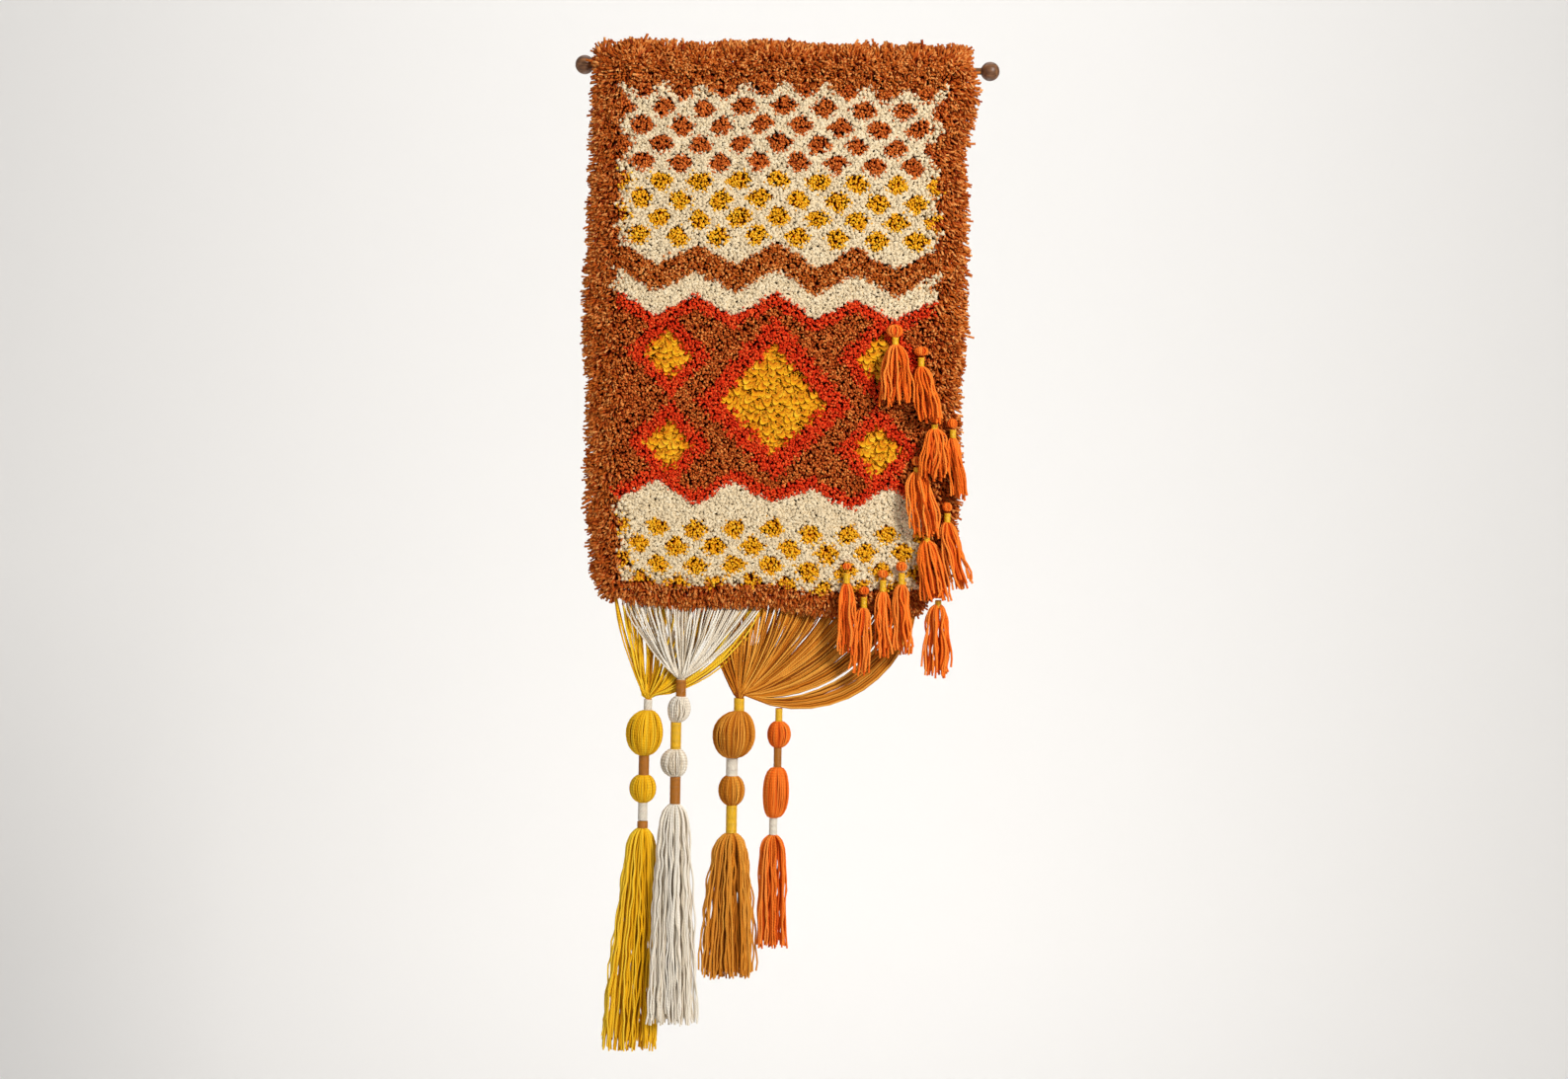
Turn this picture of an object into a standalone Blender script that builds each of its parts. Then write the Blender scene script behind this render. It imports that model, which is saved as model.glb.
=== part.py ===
"""Hooked shag rug hung from a wooden rod, with four long bound tassels and twelve small ones.

Metres, +Z up. The origin is on the rod's axis, at the middle of its length. The pile faces -Y and the
back of the canvas faces +Y, towards whatever the rod is fixed to.
"""

import math
import random
from typing import NamedTuple

import bmesh
import bpy
from mathutils import Matrix, Vector
from mathutils.bvhtree import BVHTree
from mathutils.geometry import interpolate_bezier

# What touches keeps this far apart
GAP = 0.0003

# Rod and knobs
ROD_RADIUS = 0.005
KNOB_RADIUS = 0.014
KNOB_CENTRE = 0.298
KNOB_SOCKET = 0.010
TURNED_SIDES = 16
KNOB_ARC = 7

# Rug, from front to back: tips of the pile, its rim, the seam where fringe leaves the hem, the canvas
PILE_FRONT = -0.0275
RIM_FRONT = -0.0245
HEM_SEAM = -0.0195
CANVAS_BACK = -0.0055
COLUMNS = 16
ROWS = 22

# The longest pile is in the top fifth. Lumps run across it as long waves, and each tuft differs
PILE_LONG = 0.004
LONG_SHARE = 0.2
LUMP = 0.0018
LUMP_CHANCE = 0.8
WAVE_ACROSS = 17
WAVE_SLANT = 5
WAVE_DOWN = 23

# The top hem, folded back over the rod and sewn down
SLEEVE_RADIUS = 0.0075
SLEEVE_FOOT = -0.034
SLEEVE_EDGE = -0.0045
SLEEVE_LEFT = -0.272
SLEEVE_RIGHT = 0.256
SLEEVE_ARC = 9

# Locks of pile round the rug's rim
LOCK_TOP = 0.015
LOCK_REST = 0.0085
LOCK_TIP = 0.35
LOCK_FORWARD = 0.0015
LOCK_SWAY = 0.002
LOCK_DROOP = 0.25
LOCK_UNEVEN = (0.75, 1.15)

# How a bundle of yarn is divided
BINDING = 0.0016
BALL_RINGS = 6
COLLAR = 0.004
CORE_RAYS = 6
STRAND_ROOT = 0.12
ROOT_PINCH = 0.45
PINCH_RISE = 0.003
THICK_ROOT = 0.25
SHOULDER_DEEP = 0.6
SHOULDER_DROP = 0.8
SKIRT_INSET = 0.3
FAN_INSET = 0.4
ROW_STAGGER = 0.25
CLEAR_OF_HEM = 0.0005


class Side(NamedTuple):
    """Where the rug's left and right edges are at one height."""

    height: float
    left: float
    right: float


class End(NamedTuple):
    """Where the rug's top and bottom edges are at one place across it."""

    across: float
    top: float
    bottom: float


class Bead(NamedTuple):
    """A ball or a bound neck of a tassel: its middle, its height and its width."""

    kind: str
    colour: str
    across: float
    depth: float
    height: float
    tall: float
    wide: float


class Spread(NamedTuple):
    """Where a bundle's strands run out to, in a front row and a back row, and how they bend there.

    A bend is a share of the way from root to tip, across and along, for the leftmost strand and the
    rightmost one.
    """

    left: float
    right: float
    depth: float
    row_gap: float
    wide: float
    thick: float
    left_bend: tuple
    right_bend: tuple
    lead: float
    inner_lead: float
    steps: int
    foot: float | None = None
    ragged: float = 0.0


class Tassel(NamedTuple):
    """One bundle of yarn, from the fan at its top to the skirt at its foot."""

    name: str
    colour: str
    sides: int
    fan: Spread | None
    beads: tuple
    shoulder: float
    skirt: Spread


class Small(NamedTuple):
    """A small tassel on the rug's face: its head, its bound neck, and the foot of its skirt."""

    name: str
    head_across: float
    head_height: float
    head_wide: float
    neck_tall: float
    foot_across: float
    foot_height: float
    skirt_wide: float


SIDES = (
    Side(0.016, -0.276, 0.262),
    Side(-0.032, -0.279, 0.274),
    Side(-0.136, -0.279, 0.256),
    Side(-0.185, -0.281, 0.262),
    Side(-0.380, -0.286, 0.262),
    Side(-0.475, -0.279, 0.255),
    Side(-0.630, -0.278, 0.256),
    Side(-0.745, -0.268, 0.243),
    Side(-0.785, -0.248, 0.208),
)

ENDS = (
    End(-0.286, 0.010, -0.768),
    End(-0.247, 0.015, -0.776),
    End(-0.132, 0.013, -0.784),
    End(-0.019, 0.020, -0.780),
    End(0.064, 0.018, -0.792),
    End(0.146, 0.013, -0.787),
    End(0.274, 0.015, -0.790),
)

FAN_THICK = 0.0014
FAN_ROWS = 0.0022
SKIRT_THICK = 0.0062
SKIRT_ROWS = 0.0078
STRAIGHT = (0.45, 0.45)
SKIRT_BEND = (0.92, 0.20)
SKIRT_LEAD = 0.02
SKIRT_STEPS = 4


def fan(left, right, depth, wide, right_bend, lead, inner_lead, steps):
    """A fan of thin strands that runs up to the rug's hem."""
    rows = (FAN_ROWS, wide, FAN_THICK)
    return Spread(left, right, depth, *rows, STRAIGHT, right_bend, lead, inner_lead, steps)


def skirt(left, right, depth, wide, foot, ragged):
    """A skirt of thick strands that hangs from a tassel's last binding."""
    leads = (SKIRT_LEAD, SKIRT_LEAD)
    rows = (SKIRT_ROWS, wide, SKIRT_THICK)
    return Spread(left, right, depth, *rows, SKIRT_BEND, SKIRT_BEND, *leads, SKIRT_STEPS, foot, ragged)


TASSELS = (
    Tassel(
        "yellow_tassel",
        "yellow",
        16,
        fan(-0.243, -0.026, -0.0122, 0.0078, (0.62, 0.10), 0.007, 0.022, 4),
        (
            Bead("bound", "white", -0.1885, -0.0120, -0.9400, 0.0210, 0.0120),
            Bead("ball", "yellow", -0.1929, -0.0136, -0.9800, 0.0590, 0.0550),
            Bead("bound", "brown", -0.1930, -0.0115, -1.0245, 0.0300, 0.0155),
            Bead("ball", "yellow", -0.1944, -0.0080, -1.0600, 0.0410, 0.0400),
            Bead("bound", "white", -0.1938, -0.0070, -1.0940, 0.0270, 0.0150),
            Bead("bound", "brown", -0.1938, -0.0070, -1.1130, 0.0105, 0.0150),
        ),
        0.0180,
        skirt(-0.2415, -0.1660, 0.0030, 0.0076, -1.430, 0.007),
    ),
    Tassel(
        "white_tassel",
        "white",
        16,
        fan(-0.232, -0.036, -0.0166, 0.0074, (0.50, 0.36), 0.007, 0.022, 4),
        (
            Bead("bound", "brown", -0.1400, -0.0230, -0.9120, 0.0280, 0.0145),
            Bead("ball", "white", -0.1422, -0.0205, -0.9425, 0.0330, 0.0340),
            Bead("bound", "yellow", -0.1465, -0.0190, -0.9800, 0.0420, 0.0150),
            Bead("ball", "white", -0.1487, -0.0190, -1.0200, 0.0380, 0.0410),
            Bead("bound", "brown", -0.1462, -0.0190, -1.0590, 0.0400, 0.0150),
        ),
        0.0170,
        skirt(-0.1800, -0.1045, -0.0200, 0.0076, -1.394, 0.007),
    ),
    Tassel(
        "brown_tassel",
        "brown",
        16,
        fan(-0.125, 0.196, -0.0078, 0.0090, (0.72, -0.84), 0.024, 0.044, 6),
        (
            Bead("bound", "yellow", -0.0550, -0.0080, -0.9380, 0.0240, 0.0150),
            Bead("ball", "brown", -0.0616, -0.0177, -0.9825, 0.0650, 0.0630),
            Bead("bound", "white", -0.0640, -0.0120, -1.0290, 0.0280, 0.0165),
            Bead("ball", "brown", -0.0639, -0.0080, -1.0645, 0.0430, 0.0400),
            Bead("bound", "yellow", -0.0635, -0.0060, -1.1065, 0.0410, 0.0160),
        ),
        0.0170,
        skirt(-0.1030, -0.0280, -0.0050, 0.0076, -1.329, 0.007),
    ),
    Tassel(
        "orange_tassel",
        "orange",
        12,
        None,
        (
            Bead("bound", "yellow", 0.0036, -0.0078, -0.9510, 0.0190, 0.0105),
            Bead("ball", "orange", 0.0045, -0.0050, -0.9790, 0.0370, 0.0350),
            Bead("bound", "brown", 0.0028, -0.0050, -1.0125, 0.0300, 0.0114),
            Bead("ball", "orange", 0.0012, -0.0055, -1.0635, 0.0720, 0.0390),
            Bead("bound", "white", -0.0020, -0.0050, -1.1125, 0.0260, 0.0105),
        ),
        0.0130,
        skirt(-0.0215, 0.0175, -0.0050, 0.0054, -1.286, 0.005),
    ),
)

SMALL_SIDES = 8
SMALL_HEAD_TALL = 0.0150
SMALL_HEAD_FLAT = 0.60
SMALL_NECK_DROP = 0.0078
SMALL_BOUND_WIDE = 0.0106
SMALL_SHOULDER = 0.0085
SMALL_THICK = 0.0034
SMALL_ROWS = 0.0044
SMALL_LEAN = 0.018
SMALL_FILL = 0.78
SMALL_LEAD = 0.006
SMALL_STEPS = 2
SMALL_RAGGED = 0.003
SMALL_CROWN = 0.6

# How far down a small tassel below its head it is tried against the pile, and the radius that it has there
SMALL_TRIALS = (
    (0.08, SMALL_SHOULDER),
    (0.18, SMALL_SHOULDER),
    (0.30, SMALL_SHOULDER),
    (0.65, SMALL_ROWS),
    (1.0, SMALL_ROWS),
)
TRIAL_STEPS = 30

SMALLS = (
    Small("small_tassel_a", 0.1640, -0.3870, 0.0220, 0.0140, 0.1610, -0.4880, 0.046),
    Small("small_tassel_b", 0.2020, -0.4160, 0.0200, 0.0160, 0.2070, -0.5085, 0.036),
    Small("small_tassel_c", 0.2230, -0.5130, 0.0136, 0.0140, 0.2210, -0.5960, 0.036),
    Small("small_tassel_d", 0.2500, -0.5200, 0.0150, 0.0150, 0.2620, -0.6220, 0.022),
    Small("small_tassel_e", 0.1985, -0.5760, 0.0136, 0.0140, 0.2080, -0.6690, 0.036),
    Small("small_tassel_f", 0.2150, -0.6760, 0.0136, 0.0140, 0.2225, -0.7620, 0.036),
    Small("small_tassel_g", 0.2440, -0.6420, 0.0150, 0.0160, 0.2640, -0.7580, 0.032),
    Small("small_tassel_h", 0.2330, -0.7690, 0.0136, 0.0140, 0.2340, -0.8810, 0.044),
    Small("small_tassel_i", 0.0990, -0.7310, 0.0140, 0.0185, 0.0985, -0.8480, 0.023),
    Small("small_tassel_j", 0.1245, -0.7660, 0.0136, 0.0185, 0.1245, -0.8820, 0.024),
    Small("small_tassel_k", 0.1520, -0.7410, 0.0140, 0.0195, 0.1520, -0.8540, 0.025),
    Small("small_tassel_l", 0.1790, -0.7300, 0.0156, 0.0195, 0.1810, -0.8530, 0.028),
)

YARNS = {
    "yellow": (0.78, 0.47, 0.03),
    "white": (0.80, 0.76, 0.66),
    "brown": (0.50, 0.22, 0.04),
    "orange": (0.76, 0.20, 0.03),
}
YARN_ROUGHNESS = 0.95
PILE_COLOUR = (0.46, 0.21, 0.04)
WOOD_COLOUR = (0.20, 0.085, 0.04)
WOOD_ROUGHNESS = 0.55


def mix(start, end, share):
    """A value part of the way from one to another."""
    return start + share * (end - start)


def clear_scene():
    """Removes whatever the opened file holds."""
    for old in list(bpy.data.objects):
        bpy.data.objects.remove(old)


def finish(name, colour, roughness):
    """A plain dull surface of one colour."""
    material = bpy.data.materials.get(name) or bpy.data.materials.new(name)
    material.use_nodes = True
    surface = material.node_tree.nodes["Principled BSDF"]
    surface.inputs["Base Color"].default_value = (*colour, 1.0)
    surface.inputs["Roughness"].default_value = roughness
    surface.inputs["Metallic"].default_value = 0.0
    return material


def yarn(colour):
    """The finish of one colour of yarn."""
    return finish("yarn_" + colour, YARNS[colour], YARN_ROUGHNESS)


def keep(bm, name, material, collection):
    """Turns a bmesh into an object of the hanging."""
    mesh = bpy.data.meshes.new(name)
    bm.to_mesh(mesh)
    bm.free()
    mesh.materials.append(material)
    made = bpy.data.objects.new(name, mesh)
    collection.objects.link(made)
    return made


def helper_group():
    """The collection that holds the shapes that other shapes are joined with or cut by."""
    group = bpy.data.collections.get("cutters")
    if group is None:
        group = bpy.data.collections.new("cutters")
        bpy.context.scene.collection.children.link(group)
    return group


def shape_with(body, helper_bm, operation, name):
    """Joins a shape to a body, or cuts it out, with a Boolean that stays on the body."""
    helper = keep(helper_bm, name, body.data.materials[0], helper_group())
    helper.hide_render = True
    helper.display_type = "WIRE"
    boolean = body.modifiers.new(name, "BOOLEAN")
    boolean.operation = operation
    boolean.object = helper


def cylinder_along_x(radius, start, end, sides):
    """A closed cylinder on the X axis."""
    bm = bmesh.new()
    turn = Matrix.Translation(((start + end) / 2, 0, 0)) @ Matrix.Rotation(math.pi / 2, 4, "Y")
    bmesh.ops.create_cone(
        bm, cap_ends=True, segments=sides, radius1=radius, radius2=radius, depth=end - start, matrix=turn
    )
    return bm


def make_knob(name, side, wood, collection):
    """A turned ball with a blind socket for the end of the rod."""
    socket = ROD_RADIUS + GAP
    floor = -KNOB_RADIUS + KNOB_SOCKET + GAP
    profile = [(floor, 0), (floor, socket)]
    for step in range(KNOB_ARC + 1):
        angle = mix(math.asin(socket / KNOB_RADIUS), math.pi, step / KNOB_ARC)
        profile.append((-KNOB_RADIUS * math.cos(angle), KNOB_RADIUS * math.sin(angle)))
    bm = bmesh.new()
    points = [bm.verts.new((side * (KNOB_CENTRE + x), 0, radius)) for x, radius in profile]
    edges = [bm.edges.new(pair) for pair in zip(points, points[1:])]
    turn = {"cent": (0, 0, 0), "axis": (1, 0, 0), "angle": 2 * math.pi}
    bmesh.ops.spin(bm, geom=points + edges, steps=TURNED_SIDES, use_merge=True, **turn)
    bmesh.ops.remove_doubles(bm, verts=bm.verts, dist=1e-6)
    bmesh.ops.recalc_face_normals(bm, faces=bm.faces)
    keep(bm, name, wood, collection)


def make_rod(collection):
    """The turned rod, with a knob socketed on each end."""
    wood = finish("wood", WOOD_COLOUR, WOOD_ROUGHNESS)
    reach = KNOB_CENTRE - KNOB_RADIUS + KNOB_SOCKET
    keep(cylinder_along_x(ROD_RADIUS, -reach, reach, TURNED_SIDES), "rod", wood, collection)
    make_knob("knob_left", -1, wood, collection)
    make_knob("knob_right", 1, wood, collection)


def between(table, place):
    """The rows of a table either side of a place, and the smoothed share of the way between them."""
    rising = table[0][0] < table[-1][0]
    for low, high in zip(table, table[1:]):
        if (place <= high[0]) if rising else (place >= high[0]):
            break
    share = min(1.0, max(0.0, (place - low[0]) / (high[0] - low[0])))
    return low, high, share * share * (3 - 2 * share)


def rug_point(across, down):
    """A place on the rug's outline, each share from 0 to 1, as its x and its height."""
    x = mix(SIDES[0].left, SIDES[0].right, across)
    height = 0.0
    for _ in range(3):
        low, high, share = between(ENDS, x)
        height = mix(mix(low.top, high.top, share), mix(low.bottom, high.bottom, share), down)
        low, high, share = between(SIDES, height)
        x = mix(mix(low.left, high.left, share), mix(low.right, high.right, share), across)
    return x, height


def hem_height(x):
    """The height of the rug's bottom edge at one place across it."""
    corners = [rug_point(column / COLUMNS, 1.0) for column in range(COLUMNS + 1)]
    for (low_x, low), (high_x, high) in zip(corners, corners[1:]):
        if x <= high_x:
            break
    return mix(low, high, (x - low_x) / (high_x - low_x))


def pile_front(across, down, chance):
    """The depth of the pile's lumpy face, which falls away at its rim and is longest at the top."""
    rim = min(across * COLUMNS, (1 - across) * COLUMNS, down * ROWS, (1 - down) * ROWS, 1.0)
    face = PILE_FRONT - PILE_LONG * max(0.0, 1 - down / LONG_SHARE)
    wave = math.sin(WAVE_ACROSS * across + WAVE_SLANT * down) * math.cos(WAVE_DOWN * down)
    lump = LUMP * (wave + chance.uniform(-LUMP_CHANCE, LUMP_CHANCE))
    return mix(RIM_FRONT, face + lump, rim)


def rim_walls(bm, depth):
    """Draws the rug's open rim back to a depth, and gives the wall's faces."""
    rim = [edge for edge in bm.edges if edge.is_boundary]
    made = bmesh.ops.extrude_edge_only(bm, edges=rim)["geom"]
    for vert in made:
        if isinstance(vert, bmesh.types.BMVert):
            vert.co.y = depth
    return [face for face in made if isinstance(face, bmesh.types.BMFace)]


def draw_locks(bm, walls, chance):
    """Draws each face of the pile's rim out into a lock that tapers and droops a little."""
    for wall in sorted(walls, key=lambda wall: (wall.normal.x, wall.calc_center_median().z)):
        middle = wall.calc_center_median()
        outward = wall.normal.copy()
        length = LOCK_TOP if outward.z > abs(outward.x) else LOCK_REST
        reach = length * chance.uniform(*LOCK_UNEVEN)
        sway = chance.uniform(-LOCK_SWAY, LOCK_SWAY)
        droop = Vector((sway, -LOCK_FORWARD, -LOCK_DROOP * reach * abs(outward.x)))
        tip = bmesh.ops.extrude_discrete_faces(bm, faces=[wall])["faces"][0]
        for vert in tip.verts:
            vert.co = middle + LOCK_TIP * (vert.co - middle) + reach * outward + droop


def sleeve_shape():
    """The folded hem: round over the rod, then down to where it is sewn to the canvas."""
    bm = bmesh.new()
    outline = []
    for step in range(SLEEVE_ARC + 1):
        angle = math.pi * step / SLEEVE_ARC
        outline.append((SLEEVE_RADIUS * math.cos(angle), SLEEVE_RADIUS * math.sin(angle)))
    outline += [(-SLEEVE_RADIUS, SLEEVE_FOOT), (SLEEVE_EDGE, SLEEVE_FOOT)]
    end = bm.faces.new([bm.verts.new((SLEEVE_LEFT, y, z)) for y, z in outline])
    made = bmesh.ops.extrude_face_region(bm, geom=[end], use_keep_orig=True)["geom"]
    moved = [part for part in made if isinstance(part, bmesh.types.BMVert)]
    bmesh.ops.translate(bm, vec=(SLEEVE_RIGHT - SLEEVE_LEFT, 0, 0), verts=moved)
    bmesh.ops.recalc_face_normals(bm, faces=bm.faces)
    return bm


def make_rug(collection):
    """The rug, lumpy in front and flat behind. Gives a tree of its pile for what lies on it."""
    chance = random.Random("rug")
    bm = bmesh.new()
    bmesh.ops.create_grid(bm, x_segments=COLUMNS, y_segments=ROWS, size=0.5)
    for vert in bm.verts:
        across = vert.co.x + 0.5
        down = 0.5 - vert.co.y
        x, height = rug_point(across, down)
        vert.co = Vector((x, pile_front(across, down, chance), height))
    pile_rim = rim_walls(bm, HEM_SEAM)
    rim_walls(bm, CANVAS_BACK)
    bmesh.ops.edgeloop_fill(bm, edges=[edge for edge in bm.edges if edge.is_boundary])
    bmesh.ops.recalc_face_normals(bm, faces=bm.faces)
    draw_locks(bm, pile_rim, chance)
    pile = BVHTree.FromBMesh(bm)
    rug = keep(bm, "rug", finish("pile", PILE_COLOUR, YARN_ROUGHNESS), collection)
    shape_with(rug, sleeve_shape(), "UNION", "sleeve")
    bore = cylinder_along_x(ROD_RADIUS + GAP, -KNOB_CENTRE, KNOB_CENTRE, TURNED_SIDES)
    shape_with(rug, bore, "DIFFERENCE", "rod_bore")
    return pile


def neck(bead):
    """The thickness of the yarn inside its binding, as a radius."""
    return bead.wide / 2 - BINDING - GAP


def bead_middle(bead):
    """A bead's place."""
    return Vector((bead.across, bead.depth, bead.height))


def draw_ring(bm, end, middle, wide, deep):
    """Draws a bundle's end face on to its next ring, which has its own half width and half depth."""
    centre = end.calc_center_median()
    was_wide = max(abs(vert.co.x - centre.x) for vert in end.verts)
    was_deep = max(abs(vert.co.y - centre.y) for vert in end.verts)
    end = bmesh.ops.extrude_discrete_faces(bm, faces=[end])["faces"][0]
    for vert in end.verts:
        offset = vert.co - centre
        vert.co = middle + Vector((offset.x * wide / was_wide, offset.y * deep / was_deep, 0))
    return end


def draw_ball(bm, end, ball, near_neck, far_neck, way, flat=1.0):
    """Draws a bundle's end face through a ball, from one neck to the next, down or up."""
    half = ball.wide / 2
    first = math.asin(neck(near_neck) / half)
    last = math.pi - math.asin(neck(far_neck) / half)
    for step in range(BALL_RINGS + 1):
        angle = mix(first, last, step / BALL_RINGS)
        closer = near_neck if angle < math.pi / 2 else far_neck
        swell = math.sin(angle)
        pull = (1 - swell) / (1 - neck(closer) / half)
        middle = bead_middle(ball).lerp(bead_middle(closer), pull)
        middle.z = ball.height - way * ball.tall / 2 * math.cos(angle)
        end = draw_ring(bm, end, middle, half * swell, flat * half * swell)
    return end


def strand_section(points, place, wide, thick):
    """The four corners of a strand at one point of its path, square to the way that it runs."""
    ahead = points[min(place + 1, len(points) - 1)] - points[place - 1]
    along = Vector((ahead.x, 0, ahead.z)).normalized()
    side = Vector((along.z, 0, -along.x)) * wide / 2
    front = Vector((0, thick / 2, 0))
    middle = points[place]
    return [middle - side - front, middle + side - front, middle + side + front, middle - side + front]


def draw_strand(bm, root, points, wide, thick):
    """Draws one root face out along a path: pinched clear of its neighbours, then as a flat strand."""
    rise = PINCH_RISE * root.normal
    end = bmesh.ops.extrude_discrete_faces(bm, faces=[root])["faces"][0]
    for vert in end.verts:
        vert.co = points[0] + rise + ROOT_PINCH * (vert.co - points[0])
    for place in range(1, len(points)):
        share = place / (len(points) - 1)
        corners = strand_section(
            points, place, wide * mix(STRAND_ROOT, 1, share), thick * mix(THICK_ROOT, 1, share)
        )
        end = bmesh.ops.extrude_discrete_faces(bm, faces=[end])["faces"][0]
        ring = [loop.vert for loop in end.loops]
        turns = [ring[turn:] + ring[:turn] for turn in range(len(ring))]
        closest = min(turns, key=lambda turn: sum((v.co - c).length for v, c in zip(turn, corners)))
        for vert, corner in zip(closest, corners):
            vert.co = corner
    return end


def draw_spread(bm, cap, spread, inset, way, chance):
    """Divides a bundle's end into a ring of roots, and draws a strand from each in two rows."""
    before = set(bm.faces)
    bmesh.ops.inset_individual(bm, faces=[cap], thickness=inset, use_even_offset=True)
    roots = sorted(set(bm.faces) - before, key=lambda face: face.calc_center_median().x)
    middle = cap.calc_center_median()
    front = [face for face in roots if face.calc_center_median().y < middle.y]
    back = [face for face in roots if face.calc_center_median().y > middle.y]
    for row, line in ((-1, front), (1, back)):
        for place, face in enumerate(line):
            share = (place + 0.5 + ROW_STAGGER * row) / len(line)
            root = face.calc_center_median()
            tip = Vector((mix(spread.left, spread.right, share), spread.depth + row * spread.row_gap / 2, 0))
            if spread.foot is None:
                tip.z = hem_height(tip.x) - CLEAR_OF_HEM
            else:
                tip.z = spread.foot + chance.uniform(-spread.ragged, spread.ragged)
            across, along = (mix(*ends, share) for ends in zip(spread.left_bend, spread.right_bend))
            bend = Vector((mix(root.x, tip.x, across), mix(root.y, tip.y, across), mix(root.z, tip.z, along)))
            inner = 1 - abs(tip.x - root.x) / (spread.right - spread.left)
            lead = root + Vector((0, 0, way * mix(spread.lead, spread.inner_lead, inner)))
            points = interpolate_bezier(root, lead, bend, tip, spread.steps + 1)
            end = draw_strand(bm, face, points, spread.wide, spread.thick)
            if spread.foot is None:
                for vert in end.verts:
                    vert.co.z = hem_height(vert.co.x) - CLEAR_OF_HEM


def start_bundle(bound, sides):
    """A closed length of yarn inside a binding, with its top face and its foot face."""
    bm = bmesh.new()
    radius = neck(bound)
    bmesh.ops.create_cone(
        bm,
        cap_ends=True,
        segments=sides,
        radius1=radius,
        radius2=radius,
        depth=bound.tall - 2 * GAP,
        matrix=Matrix.Translation(bead_middle(bound)),
    )
    ends = [face for face in bm.faces if len(face.verts) == sides]
    ends.sort(key=lambda face: face.calc_center_median().z)
    return bm, ends[1], ends[0]


def draw_shoulder(bm, end, bound, shoulder, skirt_depth):
    """Spreads a bundle's end below its last binding, ready for the skirt."""
    middle = bead_middle(bound)
    middle.z -= bound.tall / 2 + GAP
    end = draw_ring(bm, end, middle, neck(bound), neck(bound))
    middle.y = mix(middle.y, skirt_depth, 0.5)
    middle.z -= SHOULDER_DROP * shoulder
    return draw_ring(bm, end, middle, shoulder, SHOULDER_DEEP * shoulder)


def make_binding(name, bound, sides, collection):
    """A sleeve of fine yarn wound round a bundle's neck."""
    bm = bmesh.new()
    bmesh.ops.create_cone(
        bm,
        cap_ends=False,
        segments=sides,
        radius1=bound.wide / 2,
        radius2=bound.wide / 2,
        depth=bound.tall - 2 * GAP,
        matrix=Matrix.Translation(bead_middle(bound)),
    )
    binding = keep(bm, name, yarn(bound.colour), collection)
    wall = binding.modifiers.new("wall", "SOLIDIFY")
    wall.thickness = BINDING
    wall.offset = -1
    wall.use_even_offset = True


def top_of_core(carrier, bound):
    """How high a tassel's core can rise before it meets the strands that carry it."""
    reach = neck(bound)
    start = bead_middle(bound)
    hits = []
    for column in range(-CORE_RAYS, CORE_RAYS + 1):
        for row in range(-CORE_RAYS, CORE_RAYS + 1):
            step = Vector((column, row, 0)) * reach / CORE_RAYS
            place = carrier.ray_cast(start + step, (0, 0, 1))[0]
            if place:
                hits.append(place.z)
    return min(hits) - GAP


def make_long_tassel(tassel, carrier, collection):
    """One long tassel and its bindings. Gives a tree of its shape for what hangs from it."""
    chance = random.Random(tassel.name)
    bounds = [bead for bead in tassel.beads if bead.kind == "bound"]
    bm, top, end = start_bundle(bounds[0], tassel.sides)
    for place, bead in enumerate(tassel.beads):
        if bead.kind == "ball":
            end = draw_ball(bm, end, bead, tassel.beads[place - 1], tassel.beads[place + 1], -1)
    last = tassel.beads[-1]
    end = draw_shoulder(bm, end, last, tassel.shoulder, tassel.skirt.depth)
    draw_spread(bm, end, tassel.skirt, SKIRT_INSET * tassel.shoulder, -1, chance)
    collar = bead_middle(bounds[0])
    collar.z += bounds[0].tall / 2 + COLLAR
    if tassel.fan:
        top = draw_ring(bm, top, collar, neck(bounds[0]), neck(bounds[0]))
        draw_spread(bm, top, tassel.fan, FAN_INSET * neck(bounds[0]), 1, chance)
    else:
        collar.z = top_of_core(carrier, bounds[0])
        draw_ring(bm, top, collar, neck(bounds[0]), neck(bounds[0]))
    shape = BVHTree.FromBMesh(bm)
    keep(bm, tassel.name, yarn(tassel.colour), collection)
    for number, bound in enumerate(bounds, 1):
        make_binding(f"{tassel.name}_binding_{number}", bound, tassel.sides, collection)
    return shape


def lie_on_pile(pile, small):
    """The depth at which a small tassel just clears the pile behind it."""
    depths = []
    head = (0.0, SMALL_HEAD_FLAT * small.head_wide / 2)
    for down, radius in (head, *SMALL_TRIALS):
        lean = -SMALL_LEAN * down
        x = mix(small.head_across, small.foot_across, down)
        place = Vector((x, 3 * PILE_FRONT + lean, mix(small.head_height, small.foot_height, down)))
        for _ in range(TRIAL_STEPS):
            place.y += pile.find_nearest(place)[3] - radius - GAP
            if place.y > CANVAS_BACK:
                break
        if place.y < CANVAS_BACK:
            depths.append(place.y - lean)
    return min(depths)


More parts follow.
